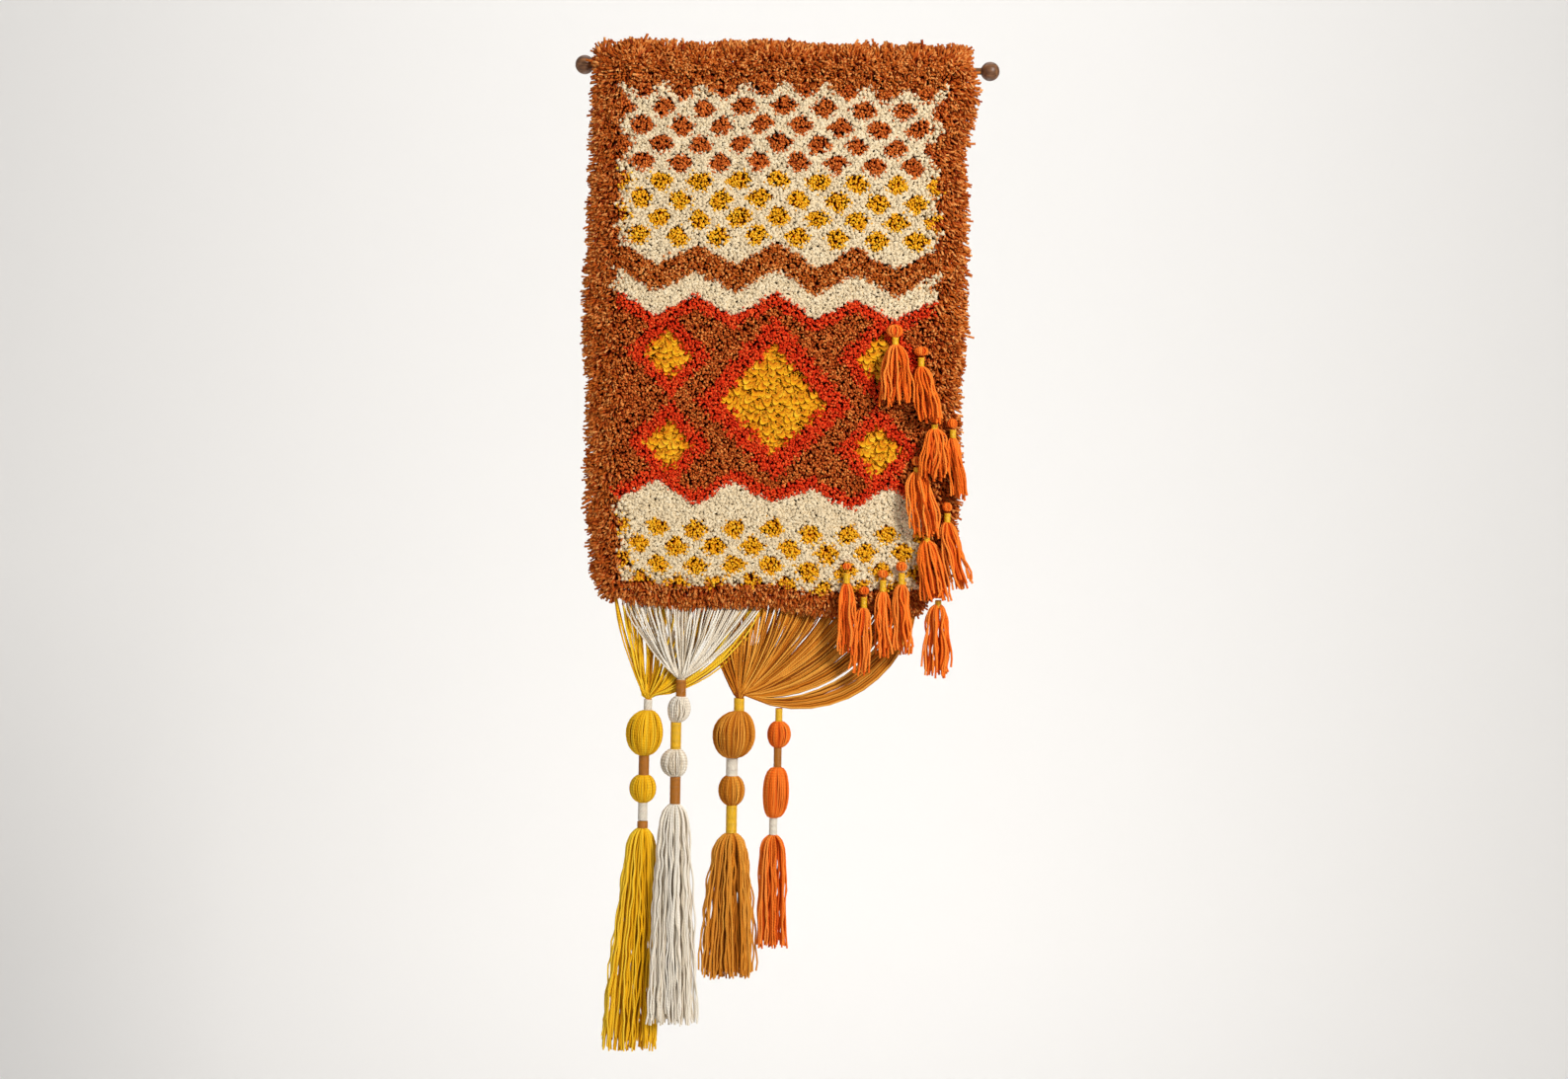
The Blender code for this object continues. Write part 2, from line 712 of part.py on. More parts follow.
def make_small_tassel(small, pile, collection):
    """A small tassel: a round head, a bound neck and a skirt of eight locks, lying out over the pile."""
    depth = lie_on_pile(pile, small)
    bound = Bead(
        "bound",
        "yellow",
        small.head_across,
        depth,
        small.head_height - SMALL_NECK_DROP - small.neck_tall / 2,
        small.neck_tall,
        SMALL_BOUND_WIDE,
    )
    head_top = small.head_height + SMALL_HEAD_TALL / 2
    crown = bound._replace(wide=SMALL_CROWN * SMALL_BOUND_WIDE, height=head_top)
    head_size = (SMALL_HEAD_TALL, small.head_wide)
    head = Bead("ball", "orange", small.head_across, depth, small.head_height, *head_size)
    bm, top, end = start_bundle(bound, SMALL_SIDES)
    draw_ball(bm, top, head, bound, crown, 1, SMALL_HEAD_FLAT)
    end = draw_shoulder(bm, end, bound, SMALL_SHOULDER, depth)
    half = small.skirt_wide / 2
    skirt = Spread(
        small.foot_across - half,
        small.foot_across + half,
        depth - SMALL_LEAN,
        SMALL_ROWS,
        SMALL_FILL * small.skirt_wide / (SMALL_SIDES / 2),
        SMALL_THICK,
        SKIRT_BEND,
        SKIRT_BEND,
        SMALL_LEAD,
        SMALL_LEAD,
        SMALL_STEPS,
        small.foot_height,
        SMALL_RAGGED,
    )
    draw_spread(bm, end, skirt, SKIRT_INSET * SMALL_SHOULDER, -1, random.Random(small.name))
    keep(bm, small.name, yarn("orange"), collection)
    make_binding(small.name + "_binding", bound, SMALL_SIDES, collection)


def main():
    clear_scene()
    collection = bpy.data.collections.new("smyrna rug hanging")
    bpy.context.scene.collection.children.link(collection)
    make_rod(collection)
    pile = make_rug(collection)
    carrier = None
    for tassel in TASSELS:
        carrier = make_long_tassel(tassel, carrier, collection)
    for small in SMALLS:
        make_small_tassel(small, pile, collection)


main()
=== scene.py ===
"""Looks for a hooked shag rug on a wooden rod, with four long bound tassels and twelve small ones.

Metres, +Z up. The pile faces -Y and the canvas back faces +Y. The origin is on the rod's axis.
"""

import math
from collections import namedtuple

import bmesh
import bpy
import numpy as np
from mathutils import Matrix, Vector


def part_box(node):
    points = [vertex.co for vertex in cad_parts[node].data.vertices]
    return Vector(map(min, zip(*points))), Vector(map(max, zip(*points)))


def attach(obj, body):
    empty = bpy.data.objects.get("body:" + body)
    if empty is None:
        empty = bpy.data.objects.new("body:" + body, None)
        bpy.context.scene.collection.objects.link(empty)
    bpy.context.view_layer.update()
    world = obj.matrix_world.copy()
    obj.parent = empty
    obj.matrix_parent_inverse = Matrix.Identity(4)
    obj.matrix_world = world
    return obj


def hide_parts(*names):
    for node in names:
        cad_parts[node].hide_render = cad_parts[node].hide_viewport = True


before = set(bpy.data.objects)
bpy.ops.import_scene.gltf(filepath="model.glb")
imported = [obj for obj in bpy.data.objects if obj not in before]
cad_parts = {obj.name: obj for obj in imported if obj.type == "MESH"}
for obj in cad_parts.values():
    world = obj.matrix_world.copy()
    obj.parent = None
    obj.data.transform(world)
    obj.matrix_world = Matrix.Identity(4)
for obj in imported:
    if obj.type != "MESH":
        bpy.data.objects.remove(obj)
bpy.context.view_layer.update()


# The rug's outline, as the part has it: height, left, right
SIDES = (
    (0.016, -0.276, 0.262),
    (-0.032, -0.279, 0.274),
    (-0.136, -0.279, 0.256),
    (-0.185, -0.281, 0.262),
    (-0.380, -0.286, 0.262),
    (-0.475, -0.279, 0.255),
    (-0.630, -0.278, 0.256),
    (-0.745, -0.268, 0.243),
    (-0.785, -0.248, 0.208),
)

# Its ends: place across, top, bottom
ENDS = (
    (-0.286, 0.010, -0.768),
    (-0.247, 0.015, -0.776),
    (-0.132, 0.013, -0.784),
    (-0.019, 0.020, -0.780),
    (0.064, 0.018, -0.792),
    (0.146, 0.013, -0.787),
    (0.274, 0.015, -0.790),
)

RUG_WIDE = 0.545
RUG_TALL = 0.800
SLEEVE_LEFT = -0.272
SLEEVE_RIGHT = 0.256
KNOB_CENTRE = 0.298
KNOB_RADIUS = 0.014
ROD_RADIUS = 0.005

# Radii of the yarns, and how thick a binding is
YARN = 0.00135
BALL_YARN = 0.0011
FAN_YARN = 0.0013
SMALL_YARN = 0.0017
WRAP_YARN = 0.0010
BINDING = 0.0016

# Long tassels. Fan: left, right, depth, slack at its left and right, crowding to the right, width of its
# gather. Knots: how many, and the yarns in each. Beads: colour, x, y, z, tall, wide. A bead of the tassel's
# own colour is a ball, and any other is a binding. Shoulder: how far the skirt swells. Skirt: left, right,
# depth, foot, ragged. Strands: how many yarns are in the skirt.
LONG_TASSELS = {
    "yellow": {
        "fan": (-0.246, -0.014, -0.0112, 1.3, 2.3, 1.0, 2.5),
        "knots": (18, 6),
        "beads": (
            ("white", -0.1885, -0.0120, -0.9400, 0.0210, 0.0120),
            ("yellow", -0.1929, -0.0136, -0.9800, 0.0645, 0.0550),
            ("brown", -0.1930, -0.0115, -1.0270, 0.0320, 0.0150),
            ("yellow", -0.1944, -0.0080, -1.0620, 0.0390, 0.0400),
            ("white", -0.1938, -0.0070, -1.0955, 0.0290, 0.0135),
            ("brown", -0.1938, -0.0070, -1.1150, 0.0115, 0.0150),
        ),
        "shoulder": 0.0235,
        "skirt": (-0.2510, -0.1630, 0.0010, -1.438, 0.012),
        "strands": 128,
    },
    "white": {
        "fan": (-0.233, -0.014, -0.0176, 1.35, 1.0, 1.0, 2.1),
        "knots": (13, 7),
        "beads": (
            ("brown", -0.1400, -0.0230, -0.9130, 0.0275, 0.0145),
            ("white", -0.1422, -0.0205, -0.9438, 0.0365, 0.0345),
            ("yellow", -0.1465, -0.0190, -0.9832, 0.0430, 0.0152),
            ("white", -0.1487, -0.0190, -1.0226, 0.0385, 0.0410),
            ("brown", -0.1462, -0.0190, -1.0620, 0.0425, 0.0150),
        ),
        "shoulder": 0.0235,
        "skirt": (-0.1820, -0.1060, -0.0200, -1.397, 0.010),
        "strands": 128,
    },
    "brown": {
        "fan": (-0.125, 0.204, -0.0078, 0.8, 1.24, 1.3, 1.6),
        "knots": (40, 8),
        "beads": (
            ("yellow", -0.0550, -0.0080, -0.9380, 0.0240, 0.0150),
            ("brown", -0.0616, -0.0177, -0.9805, 0.0665, 0.0630),
            ("white", -0.0640, -0.0120, -1.0283, 0.0310, 0.0168),
            ("brown", -0.0639, -0.0080, -1.0625, 0.0420, 0.0395),
            ("yellow", -0.0635, -0.0060, -1.1045, 0.0430, 0.0158),
        ),
        "shoulder": 0.0260,
        "skirt": (-0.1055, -0.0260, -0.0050, -1.331, 0.010),
        "strands": 140,
    },
    "orange": {
        "fan": None,
        "beads": (
            ("yellow", 0.0036, -0.0078, -0.9510, 0.0220, 0.0100),
            ("orange", 0.0045, -0.0050, -0.9795, 0.0370, 0.0350),
            ("brown", 0.0028, -0.0050, -1.0137, 0.0325, 0.0112),
            ("orange", 0.0012, -0.0055, -1.0650, 0.0725, 0.0390),
            ("white", -0.0020, -0.0050, -1.1140, 0.0280, 0.0115),
        ),
        "shoulder": 0.0195,
        "skirt": (-0.0245, 0.0215, -0.0050, -1.288, 0.007),
        "strands": 72,
    },
}

# Small tassels: head x and z, its width and height, foot x and z, width of the skirt, rise of its start
SMALL_TASSELS = {
    "a": (0.1625, -0.3870, 0.0250, 0.0200, 0.1665, -0.4900, 0.050, 0.001),
    "b": (0.2020, -0.4160, 0.0215, 0.0150, 0.2130, -0.5150, 0.041, 0.001),
    "c": (0.2230, -0.5130, 0.0160, 0.0150, 0.2205, -0.5970, 0.049, 0.006),
    "d": (0.2490, -0.5200, 0.0155, 0.0150, 0.2630, -0.6240, 0.027, 0.001),
    "e": (0.1985, -0.5760, 0.0160, 0.0150, 0.2120, -0.6800, 0.045, 0.006),
    "f": (0.2150, -0.6760, 0.0160, 0.0150, 0.2290, -0.7720, 0.045, 0.006),
    "g": (0.2435, -0.6420, 0.0150, 0.0150, 0.2660, -0.7540, 0.031, 0.001),
    "h": (0.2330, -0.7690, 0.0160, 0.0150, 0.2335, -0.8820, 0.043, 0.006),
    "i": (0.0990, -0.7310, 0.0130, 0.0110, 0.1010, -0.8510, 0.026, 0.001),
    "j": (0.1245, -0.7660, 0.0155, 0.0130, 0.1220, -0.8810, 0.031, 0.001),
    "k": (0.1515, -0.7410, 0.0150, 0.0130, 0.1560, -0.8550, 0.028, 0.001),
    "l": (0.1785, -0.7300, 0.0170, 0.0150, 0.1850, -0.8500, 0.031, 0.001),
}


# Materials


def feed(tree, node, values):
    """Gives a node's inputs numbers or colours, or a source: another node and the name of its output."""
    for socket, value in values.items():
        if isinstance(value, tuple) and isinstance(value[1], str):
            tree.links.new(value[0].outputs[value[1]], node.inputs[socket])
        else:
            node.inputs[socket].default_value = value


def add_node(tree, kind, values, **settings):
    """A new node with its settings and the values of its inputs."""
    node = tree.nodes.new(kind)
    for name, setting in settings.items():
        setattr(node, name, setting)
    feed(tree, node, values)
    return node


def new_material(name):
    """An empty material, its nodes and its shader."""
    material = bpy.data.materials.new(name)
    material.use_nodes = True
    return material, material.node_tree, material.node_tree.nodes["Principled BSDF"]


def add_noise(tree, scale, detail, stretch=(1, 1, 1)):
    """Noise on the piece's own coordinates, stretched along its axes."""
    place = add_node(tree, "ShaderNodeTexCoord", {})
    mapping = add_node(tree, "ShaderNodeMapping", {"Vector": (place, "Object"), "Scale": stretch})
    values = {"Vector": (mapping, "Vector"), "Scale": scale, "Detail": detail}
    return add_node(tree, "ShaderNodeTexNoise", values), "Fac"


def add_ramp(tree, source, *stops):
    """A colour ramp with the given places and colours."""
    ramp = add_node(tree, "ShaderNodeValToRGB", {"Fac": source})
    points = ramp.color_ramp.elements
    while len(points) < len(stops):
        points.new(0.5)
    for point, (place, colour) in zip(points, stops):
        point.position = place
        point.color = (*colour, 1)
    return ramp, "Color"


def add_math(tree, operation, *values):
    """One sum of numbers or sources."""
    return add_node(tree, "ShaderNodeMath", dict(enumerate(values)), operation=operation), "Value"


def add_mix(tree, blend, factor, first, second):
    """Two colours laid over each other."""
    values = {"Factor": factor, "A": first, "B": second}
    return add_node(tree, "ShaderNodeMix", values, data_type="RGBA", blend_type=blend), "Result"


def read_attribute(tree, name, output="Fac"):
    """A named value that the mesh carries."""
    return add_node(tree, "ShaderNodeAttribute", {}, attribute_name=name), output


def add_relief(tree, shader, height, strength, distance):
    """Fine relief on a surface."""
    values = {"Height": height, "Strength": strength, "Distance": distance}
    bump = add_node(tree, "ShaderNodeBump", values)
    feed(tree, shader, {"Normal": (bump, "Normal")})


def set_surface(tree, shader, colour, roughness, shine):
    """The colour of a surface, how rough it is and how much it shines."""
    feed(tree, shader, {"Base Color": colour, "Roughness": roughness, "Specular IOR Level": shine})


def set_cloth(tree, shader, colour, sheen, tint, roughness=0.92, shine=0.18):
    """A surface with the soft edge light of wool. Without other values it has no hard shine."""
    set_surface(tree, shader, colour, roughness, shine)
    feed(tree, shader, {"Sheen Weight": sheen, "Sheen Roughness": 0.45, "Sheen Tint": (*tint, 1)})


def yarn_shade(tree, dark, middle, light, fleck):
    """Yarn colour: each strand has its own shade value, a random tone that in skirts and fans also carries
    painted shade for strands deep in the bundle, and fine flecks run over it.
    """
    flecks = add_math(tree, "MULTIPLY", add_noise(tree, 420, 3), fleck)
    mixed = add_math(tree, "ADD", read_attribute(tree, "shade"), flecks)
    centred = add_math(tree, "SUBTRACT", mixed, fleck / 2)
    return add_ramp(tree, centred, (0.0, dark), (0.5, middle), (1.0, light))


def pile_finish(name, dark, middle, light, root):
    """Cut wool pile, with painted shade that darkens it towards its roots. The root colour is that painted
    shade.
    """
    material, tree, shader = new_material(name)
    shade = yarn_shade(tree, dark, middle, light, 0.5)
    # Painted shade: the root colour darkens the yarn low on each tuft and fades out towards its tip
    depth = add_ramp(tree, read_attribute(tree, "along"), (0.30, root), (0.90, (1, 1, 1)))
    set_cloth(tree, shader, add_mix(tree, "MULTIPLY", 1, shade, depth), 0.12, middle)
    add_relief(tree, shader, add_noise(tree, 1400, 2), 0.5, 0.0006)
    return material


PLY_LENGTH = 0.0042
# The painted shade in the grooves between the plies
GROOVE_SHADE = (0.55, 0.5, 0.47)


def spun_finish(name, dark, middle, light, sheen=0.07, **gloss):
    """Plied yarn: two strands twist round each other, shown by painted shade in the grooves between them and
    in relief.
    """
    material, tree, shader = new_material(name)
    shade = yarn_shade(tree, dark, middle, light, 0.35)
    around = read_attribute(tree, "round", "Vector")
    split = add_node(tree, "ShaderNodeSeparateXYZ", {"Vector": around})
    angle = add_math(tree, "ARCTAN2", (split, "Y"), (split, "X"))
    turns = add_math(tree, "MULTIPLY", read_attribute(tree, "along"), 2 * math.pi / PLY_LENGTH)
    phase = add_math(tree, "ADD", add_math(tree, "MULTIPLY", angle, 2), turns)
    lifted = add_math(tree, "MULTIPLY_ADD", add_math(tree, "SINE", phase), 0.5, 0.5)
    # Painted shade: the grooves between the two plies are darkened
    groove_shade = add_ramp(tree, lifted, (0.0, GROOVE_SHADE), (0.5, (1, 1, 1)))
    set_cloth(tree, shader, add_mix(tree, "MULTIPLY", 0.6, shade, groove_shade), sheen, middle, **gloss)
    add_relief(tree, shader, lifted, 0.6, 0.0004)
    return material


def wood_finish():
    """Dark stained hardwood: long grain along the rod, with pores and a satin surface."""
    material, tree, shader = new_material("stained wood")
    stops = (
        (0.30, (0.042, 0.013, 0.004)),
        (0.52, (0.155, 0.062, 0.022)),
        (0.72, (0.290, 0.130, 0.048)),
    )
    set_surface(tree, shader, add_ramp(tree, add_noise(tree, 260, 6, (0.09, 1, 1)), *stops), 0.42, 0.45)
    add_relief(tree, shader, add_noise(tree, 900, 3, (0.12, 1, 1)), 0.35, 0.0003)
    return material


# Pile colours: dark, middle, light, and the painted shade that deepens them towards their roots
WARM_ROOT_SHADE = (0.90, 0.27, 0.10)
PALE_ROOT_SHADE = (0.98, 0.95, 0.90)
LOOP_ROOT_SHADE = (0.66, 0.38, 0.20)
PILE_COLOURS = {
    "amber": ("amber pile", (0.26, 0.028, 0.001), (0.51, 0.114, 0.009), (0.86, 0.380, 0.105), WARM_ROOT_SHADE),
    "brown": ("brown pile", (0.22, 0.022, 0.001), (0.51, 0.094, 0.010), (0.88, 0.320, 0.070), WARM_ROOT_SHADE),
    "rust": ("rust pile", (0.34, 0.050, 0.006), (0.58, 0.120, 0.014), (0.82, 0.240, 0.045), WARM_ROOT_SHADE),
    "cream": ("cream pile", (0.67, 0.53, 0.33), (0.77, 0.62, 0.40), (0.85, 0.72, 0.50), PALE_ROOT_SHADE),
    "ochre": ("ochre pile", (0.72, 0.30, 0.004), (0.90, 0.43, 0.009), (0.97, 0.58, 0.035), WARM_ROOT_SHADE),
    "loops": ("looped pile", (0.84, 0.35, 0.005), (0.96, 0.49, 0.010), (0.99, 0.62, 0.032), LOOP_ROOT_SHADE),
    "red": ("orange-red pile", (0.52, 0.014, 0.002), (0.73, 0.038, 0.004), (0.90, 0.130, 0.026), WARM_ROOT_SHADE),
}
PILE = {yarn: pile_finish(*facts) for yarn, facts in PILE_COLOURS.items()}

# Spun yarn: dark, middle, light. Wrapping has its sheen too.
YARN_COLOURS = {
    "yellow": ((0.46, 0.165, 0.002), (0.93, 0.500, 0.006), (0.99, 0.690, 0.050)),
    "white": ((0.54, 0.430, 0.290), (0.88, 0.790, 0.640), (0.98, 0.930, 0.820)),
    "brown": ((0.27, 0.052, 0.002), (0.66, 0.220, 0.012), (0.88, 0.410, 0.060)),
    "orange": ((0.58, 0.050, 0.004), (0.94, 0.180, 0.011), (0.99, 0.310, 0.045)),
}
WRAP_COLOURS = {
    "yellow": ((0.78, 0.40, 0.008), (0.92, 0.54, 0.012), (0.98, 0.66, 0.030), 0.05),
    "white": ((0.72, 0.65, 0.52), (0.87, 0.80, 0.67), (0.95, 0.90, 0.80), 0.1),
    "brown": ((0.36, 0.110, 0.005), (0.50, 0.175, 0.009), (0.62, 0.250, 0.020), 0.05),
}
SPUN = {colour: spun_finish(colour + " yarn", *facts) for colour, facts in YARN_COLOURS.items()}
SATIN = {"roughness": 0.42, "shine": 0.55}
WRAP = {colour: spun_finish(colour + " wrapping", *facts, **SATIN) for colour, facts in WRAP_COLOURS.items()}
WOOD = wood_finish()


# Shapes


def add_object(name, data):
    """Puts a mesh, a light or a camera in the scene."""
    thing = bpy.data.objects.new(name, data)
    bpy.context.scene.collection.objects.link(thing)
    return thing


def add_piece(name, mesh, material, slot, *nodes):
    """Puts a finished mesh in the scene as a piece that rides on the one body."""
    mesh.materials.clear()
    mesh.materials.append(material)
    mesh.shade_smooth()
    piece = add_object(name, mesh)
    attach(piece, "root")
    if nodes:
        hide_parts(*nodes)
    return piece


def stored_mesh(bm, name, triangles=False):
    """Turns a worked mesh into a stored one, with its faces outwards."""
    bmesh.ops.recalc_face_normals(bm, faces=bm.faces)
    if triangles:
        bmesh.ops.triangulate(bm, faces=bm.faces)
    mesh = bpy.data.meshes.new(name)
    bm.to_mesh(mesh)
    bm.free()
    return mesh


def store_values(mesh, label, values):
    """Gives each point of a mesh a named value, which materials read."""
    flat = values.astype(np.float32)
    mesh.attributes.new(label, "FLOAT", "POINT").data.foreach_set("value", flat)


def mix(start, end, share):
    """A value on the way from start to end."""
    return start + (end - start) * share


def along_table(table, place):
    """Reads a table's columns at many places, smoothed between its rows."""
    rows = np.array(table)
    if rows[0, 0] > rows[-1, 0]:
        rows = rows[::-1]
    keys = rows[:, 0]
    low = np.clip(np.searchsorted(keys, place, side="right") - 1, 0, len(keys) - 2)
    share = np.clip((place - keys[low]) / (keys[low + 1] - keys[low]), 0, 1)
    share = share * share * (3 - 2 * share)
    return [rows[low, k] * (1 - share) + rows[low + 1, k] * share for k in range(1, rows.shape[1])]


def rug_point(across, down):
    """Places on the rug, each share from 0 to 1, as their x and their height."""
    x = SIDES[0][1] * (1 - across) + SIDES[0][2] * across
    for _ in range(3):
        top, bottom = along_table(ENDS, x)
        height = top + (bottom - top) * down
        left, right = along_table(SIDES, height)
        x = left + (right - left) * across
    return x, height


def hem_height(x):
    """The height of the rug's bottom edge."""
    return along_table(ENDS, np.asarray(x))[1]


def unit(vectors):
    """The same directions, one long."""
    return vectors / np.linalg.norm(vectors, axis=-1, keepdims=True)


def soft_waves(x, z, size, chance):
    """A smooth random field over the rug, from about -1 to 1, with lumps of one size."""
    total = np.zeros_like(x)
    for _ in range(7):
        heading = chance.uniform(0, 2 * math.pi)
        reach = 2 * math.pi / (size * chance.uniform(0.7, 1.6))
        phase = chance.uniform(0, 2 * math.pi)
        total += np.sin(reach * (x * math.cos(heading) + z * math.sin(heading)) + phase)
    return total / 3.5


# Pile


def tuft_shape(stations):
    """One end of pile yarn, from root to tip: +Z is the way it leaves the canvas, and it bends to +Y.
    Each station is its place along Y and Z and its radius."""
    bm = bmesh.new()
    along = bm.verts.layers.float.new("along")
    bmesh.ops.create_circle(bm, cap_ends=True, segments=TUFT_SIDES, radius=stations[0][2])
    end = bm.faces[:][0]
    tilt = 0.0
    for number, (before, station) in enumerate(zip(stations, stations[1:]), 1):
        end = bmesh.ops.extrude_discrete_faces(bm, faces=[end])["faces"][0]
        ring = end.verts[:]
        step = Vector((0, station[0] - before[0], station[1] - before[1]))
        lean = math.atan2(step.y, step.z)
        bmesh.ops.translate(bm, vec=step, verts=ring)
        middle = end.calc_center_median()
        bmesh.ops.rotate(bm, cent=middle, matrix=Matrix.Rotation(tilt - lean, 3, "X"), verts=ring)
        grow = station[2] / before[2]
        bmesh.ops.scale(bm, vec=(grow,) * 3, space=Matrix.Translation(-middle), verts=ring)
        tilt = lean
        for vert in ring:
            vert[along] = number / (len(stations) - 1)
    bmesh.ops.holes_fill(bm, edges=bm.edges, sides=TUFT_SIDES)
    return stored_mesh(bm, "tuft", triangles=True)


def read_mesh(mesh):
    """A mesh's points, its triangles and how far along the yarn each point is."""
    points = np.zeros(len(mesh.vertices) * 3)
    mesh.vertices.foreach_get("co", points)
    corners = np.zeros(len(mesh.loops), int)
    mesh.loops.foreach_get("vertex_index", corners)
    along = np.zeros(len(mesh.vertices))
    mesh.attributes["along"].data.foreach_get("value", along)
    return points.reshape(-1, 3), corners.reshape(-1, 3), along


def plant(name, shape, roots, leave, bend, sizes, shades):
    """Joins one copy of a shape for each root: it leaves the canvas one way and bends another way."""
    points, faces, along = read_mesh(shape)
    z = unit(leave)
    y = unit(bend - (bend * z).sum(1, keepdims=True) * z)
    x = np.cross(y, z)
    turn = np.stack([x, y, z], 2)
    placed = np.einsum("mij,nj->mni", turn, points) * sizes[:, None, None] + roots[:, None, :]
    joined = faces[None] + len(points) * np.arange(len(roots))[:, None, None]
    mesh = bpy.data.meshes.new(name)
    mesh.vertices.add(placed.shape[0] * placed.shape[1])
    mesh.vertices.foreach_set("co", placed.reshape(-1))
    mesh.loops.add(joined.size)
    mesh.loops.foreach_set("vertex_index", joined.reshape(-1))
    mesh.polygons.add(joined.size // 3)
    mesh.polygons.foreach_set("loop_start", np.arange(0, joined.size, 3))
    mesh.update(calc_edges=True)
    store_values(mesh, "along", np.tile(along, len(roots)))
    store_values(mesh, "shade", np.repeat(shades, len(points)))
    return mesh


def fold(values, period):
    """A zigzag between -1 and 1."""
    return 4 * np.abs(values / period - np.floor(values / period + 0.5)) - 1


# The design, in metres across from the rug's middle and down from its top
DIAMOND_PITCH = (0.0596, 0.0270)
DIAMOND_HALF = (0.0200, 0.0205)
TOP_DIAMONDS = 0.0760
FOOT_DIAMONDS = 0.6930
ZIGZAG_RISE = 0.016
ZIGZAG_PITCH = 0.1196
ZIGZAG_BANDS = ((0.292, 0.330, "amber"), (0.330, 0.366, "cream"), (0.366, 0.384, "red"))
FOOT_BAND = (0.622, 0.640)
BORDER_SIDE = 0.238
BORDER_TOP = 0.046
BORDER_FOOT = 0.774
TOOTH_RISE = 0.006
TOOTH_PITCH = 0.030

# Stepped lozenges: middle across and down, half the size, one step. The loops fill a share of each.
LOZENGES = (
    (0, 0.503, 0.122, 0.0125),
    (-0.160, 0.437, 0.062, 0.0085),
    (-0.160, 0.569, 0.062, 0.0085),
    (0.160, 0.437, 0.062, 0.0085),
    (0.160, 0.569, 0.062, 0.0085),
)
LOOP_SHARE = 0.63


def small_diamonds(x, t, top):
    """Rows of small diamonds: where they are, and which row each is in."""
    pitch_x, pitch_t = DIAMOND_PITCH
    row = np.round((t - top) / pitch_t)
    shift = np.where(row % 2 == 0, 0.0, pitch_x / 2)
    from_middle = np.abs(x - shift - pitch_x * np.round((x - shift) / pitch_x))
    from_row = np.abs(t - top - pitch_t * row)
    return from_middle / DIAMOND_HALF[0] + from_row / DIAMOND_HALF[1] < 1, row


def lozenge(x, t, middle_x, middle_t, half, step):
    """How far out a point is in a stepped lozenge, where its edge is 1."""
    across = np.abs(step * np.round((x - middle_x) / step))
    up = np.abs(step * np.round((t - middle_t) / step))
    return across / half + up / half


def pile_colours(across, down):
    """Which yarn each place has: a bordered rug of rows of diamonds, zigzags and stepped lozenges."""
    x = (across - 0.5) * RUG_WIDE
    t = down * RUG_TALL
    colour = np.full(x.shape, "brown", dtype="<U6")
    zigzag = ZIGZAG_RISE * fold(x, ZIGZAG_PITCH)
    upper = t - zigzag
    lower = t + zigzag
    top_field = upper < ZIGZAG_BANDS[0][0]
    foot_field = lower > FOOT_BAND[1]
    colour[top_field | foot_field] = "cream"
    spots, row = small_diamonds(x, t, TOP_DIAMONDS)
    colour[spots & top_field & (row < 8)] = "ochre"
    colour[spots & top_field & (row < 4)] = "rust"
    spots, row = small_diamonds(x, t, FOOT_DIAMONDS)
    colour[spots & foot_field & (row > -1)] = "ochre"
    for low, high, name in ZIGZAG_BANDS:
        colour[(upper >= low) & (upper < high)] = name
    colour[(lower > FOOT_BAND[0]) & (lower <= FOOT_BAND[1])] = "red"
    out = np.min([lozenge(x, t, *facts) for facts in LOZENGES], axis=0)
    colour[out < 1.0] = "red"
    colour[out < LOOP_SHARE] = "loops"
    side = np.abs(x) > BORDER_SIDE + TOOTH_RISE * fold(t, TOOTH_PITCH)
    top = t < BORDER_TOP + TOOTH_RISE * fold(x, TOOTH_PITCH)
    colour[side | top | (t > BORDER_FOOT)] = "amber"
    return colour


# Tufts: stations from root to tip
TUFT_SIDES = 3
TUFTS = {
    "short": ((0, 0, 0.0013), (0.0036, 0.0190, 0.0020)),
    "full": ((0, 0, 0.0023), (0.0012, 0.0188, 0.0036)),
    "long": ((0, 0, 0.0010), (0.0016, 0.0115, 0.0015), (0.0078, 0.0200, 0.0015)),
}

# The cut pile's pieces: yarn, kind of tuft, slot, growth
PILE_PIECES = {
    "border_pile_left": ("amber", "long", "pile", 1.0),
    "border_pile_right": ("amber", "long", "pile", 1.0),
    "zigzag_pile": ("amber", "short", "pile", 1.10),
    "brown_field_pile": ("brown", "short", "pile", 1.0),
    "rust_diamonds_pile": ("rust", "short", "pile", 1.02),
    "cream_ground_pile": ("cream", "full", "yarn_white", 0.97),
    "ochre_diamonds_pile": ("ochre", "short", "yarn_yellow", 1.02),
    "orange_red_pile": ("red", "short", "yarn_orange", 1.08),
    "loop_ground_pile": ("loops", "short", "yarn_yellow", 0.70),
}

# Knots: their pitch across and down, how loosely they are set, how deep the pile's roots are, how far the
# outer ones are from the rim, how wide a band leans out at the rim, and where the pile turns over the rod
KNOT_PITCH = (0.00285, 0.00285)
KNOT_LOOSE = 0.34
PILE_ROOT = -0.0078
RIM_INSET = 0.0075
RIM_REACH = 0.042
OVER_ROD = 0.004

# More knots along the edges, where the pile fans out: how many, and how deep a band they take
RIM_KNOTS = {"top": (2700, 0.022), "foot": (500, 0.010), "left": (1300, 0.016), "right": (1300, 0.016)}

# Where the pile lies most loosely, from the rug's middle, and down from its top and to its foot
LOOSE_SIDE = 0.22
LOOSE_TOP = 0.06
LOOSE_FOOT = 0.76

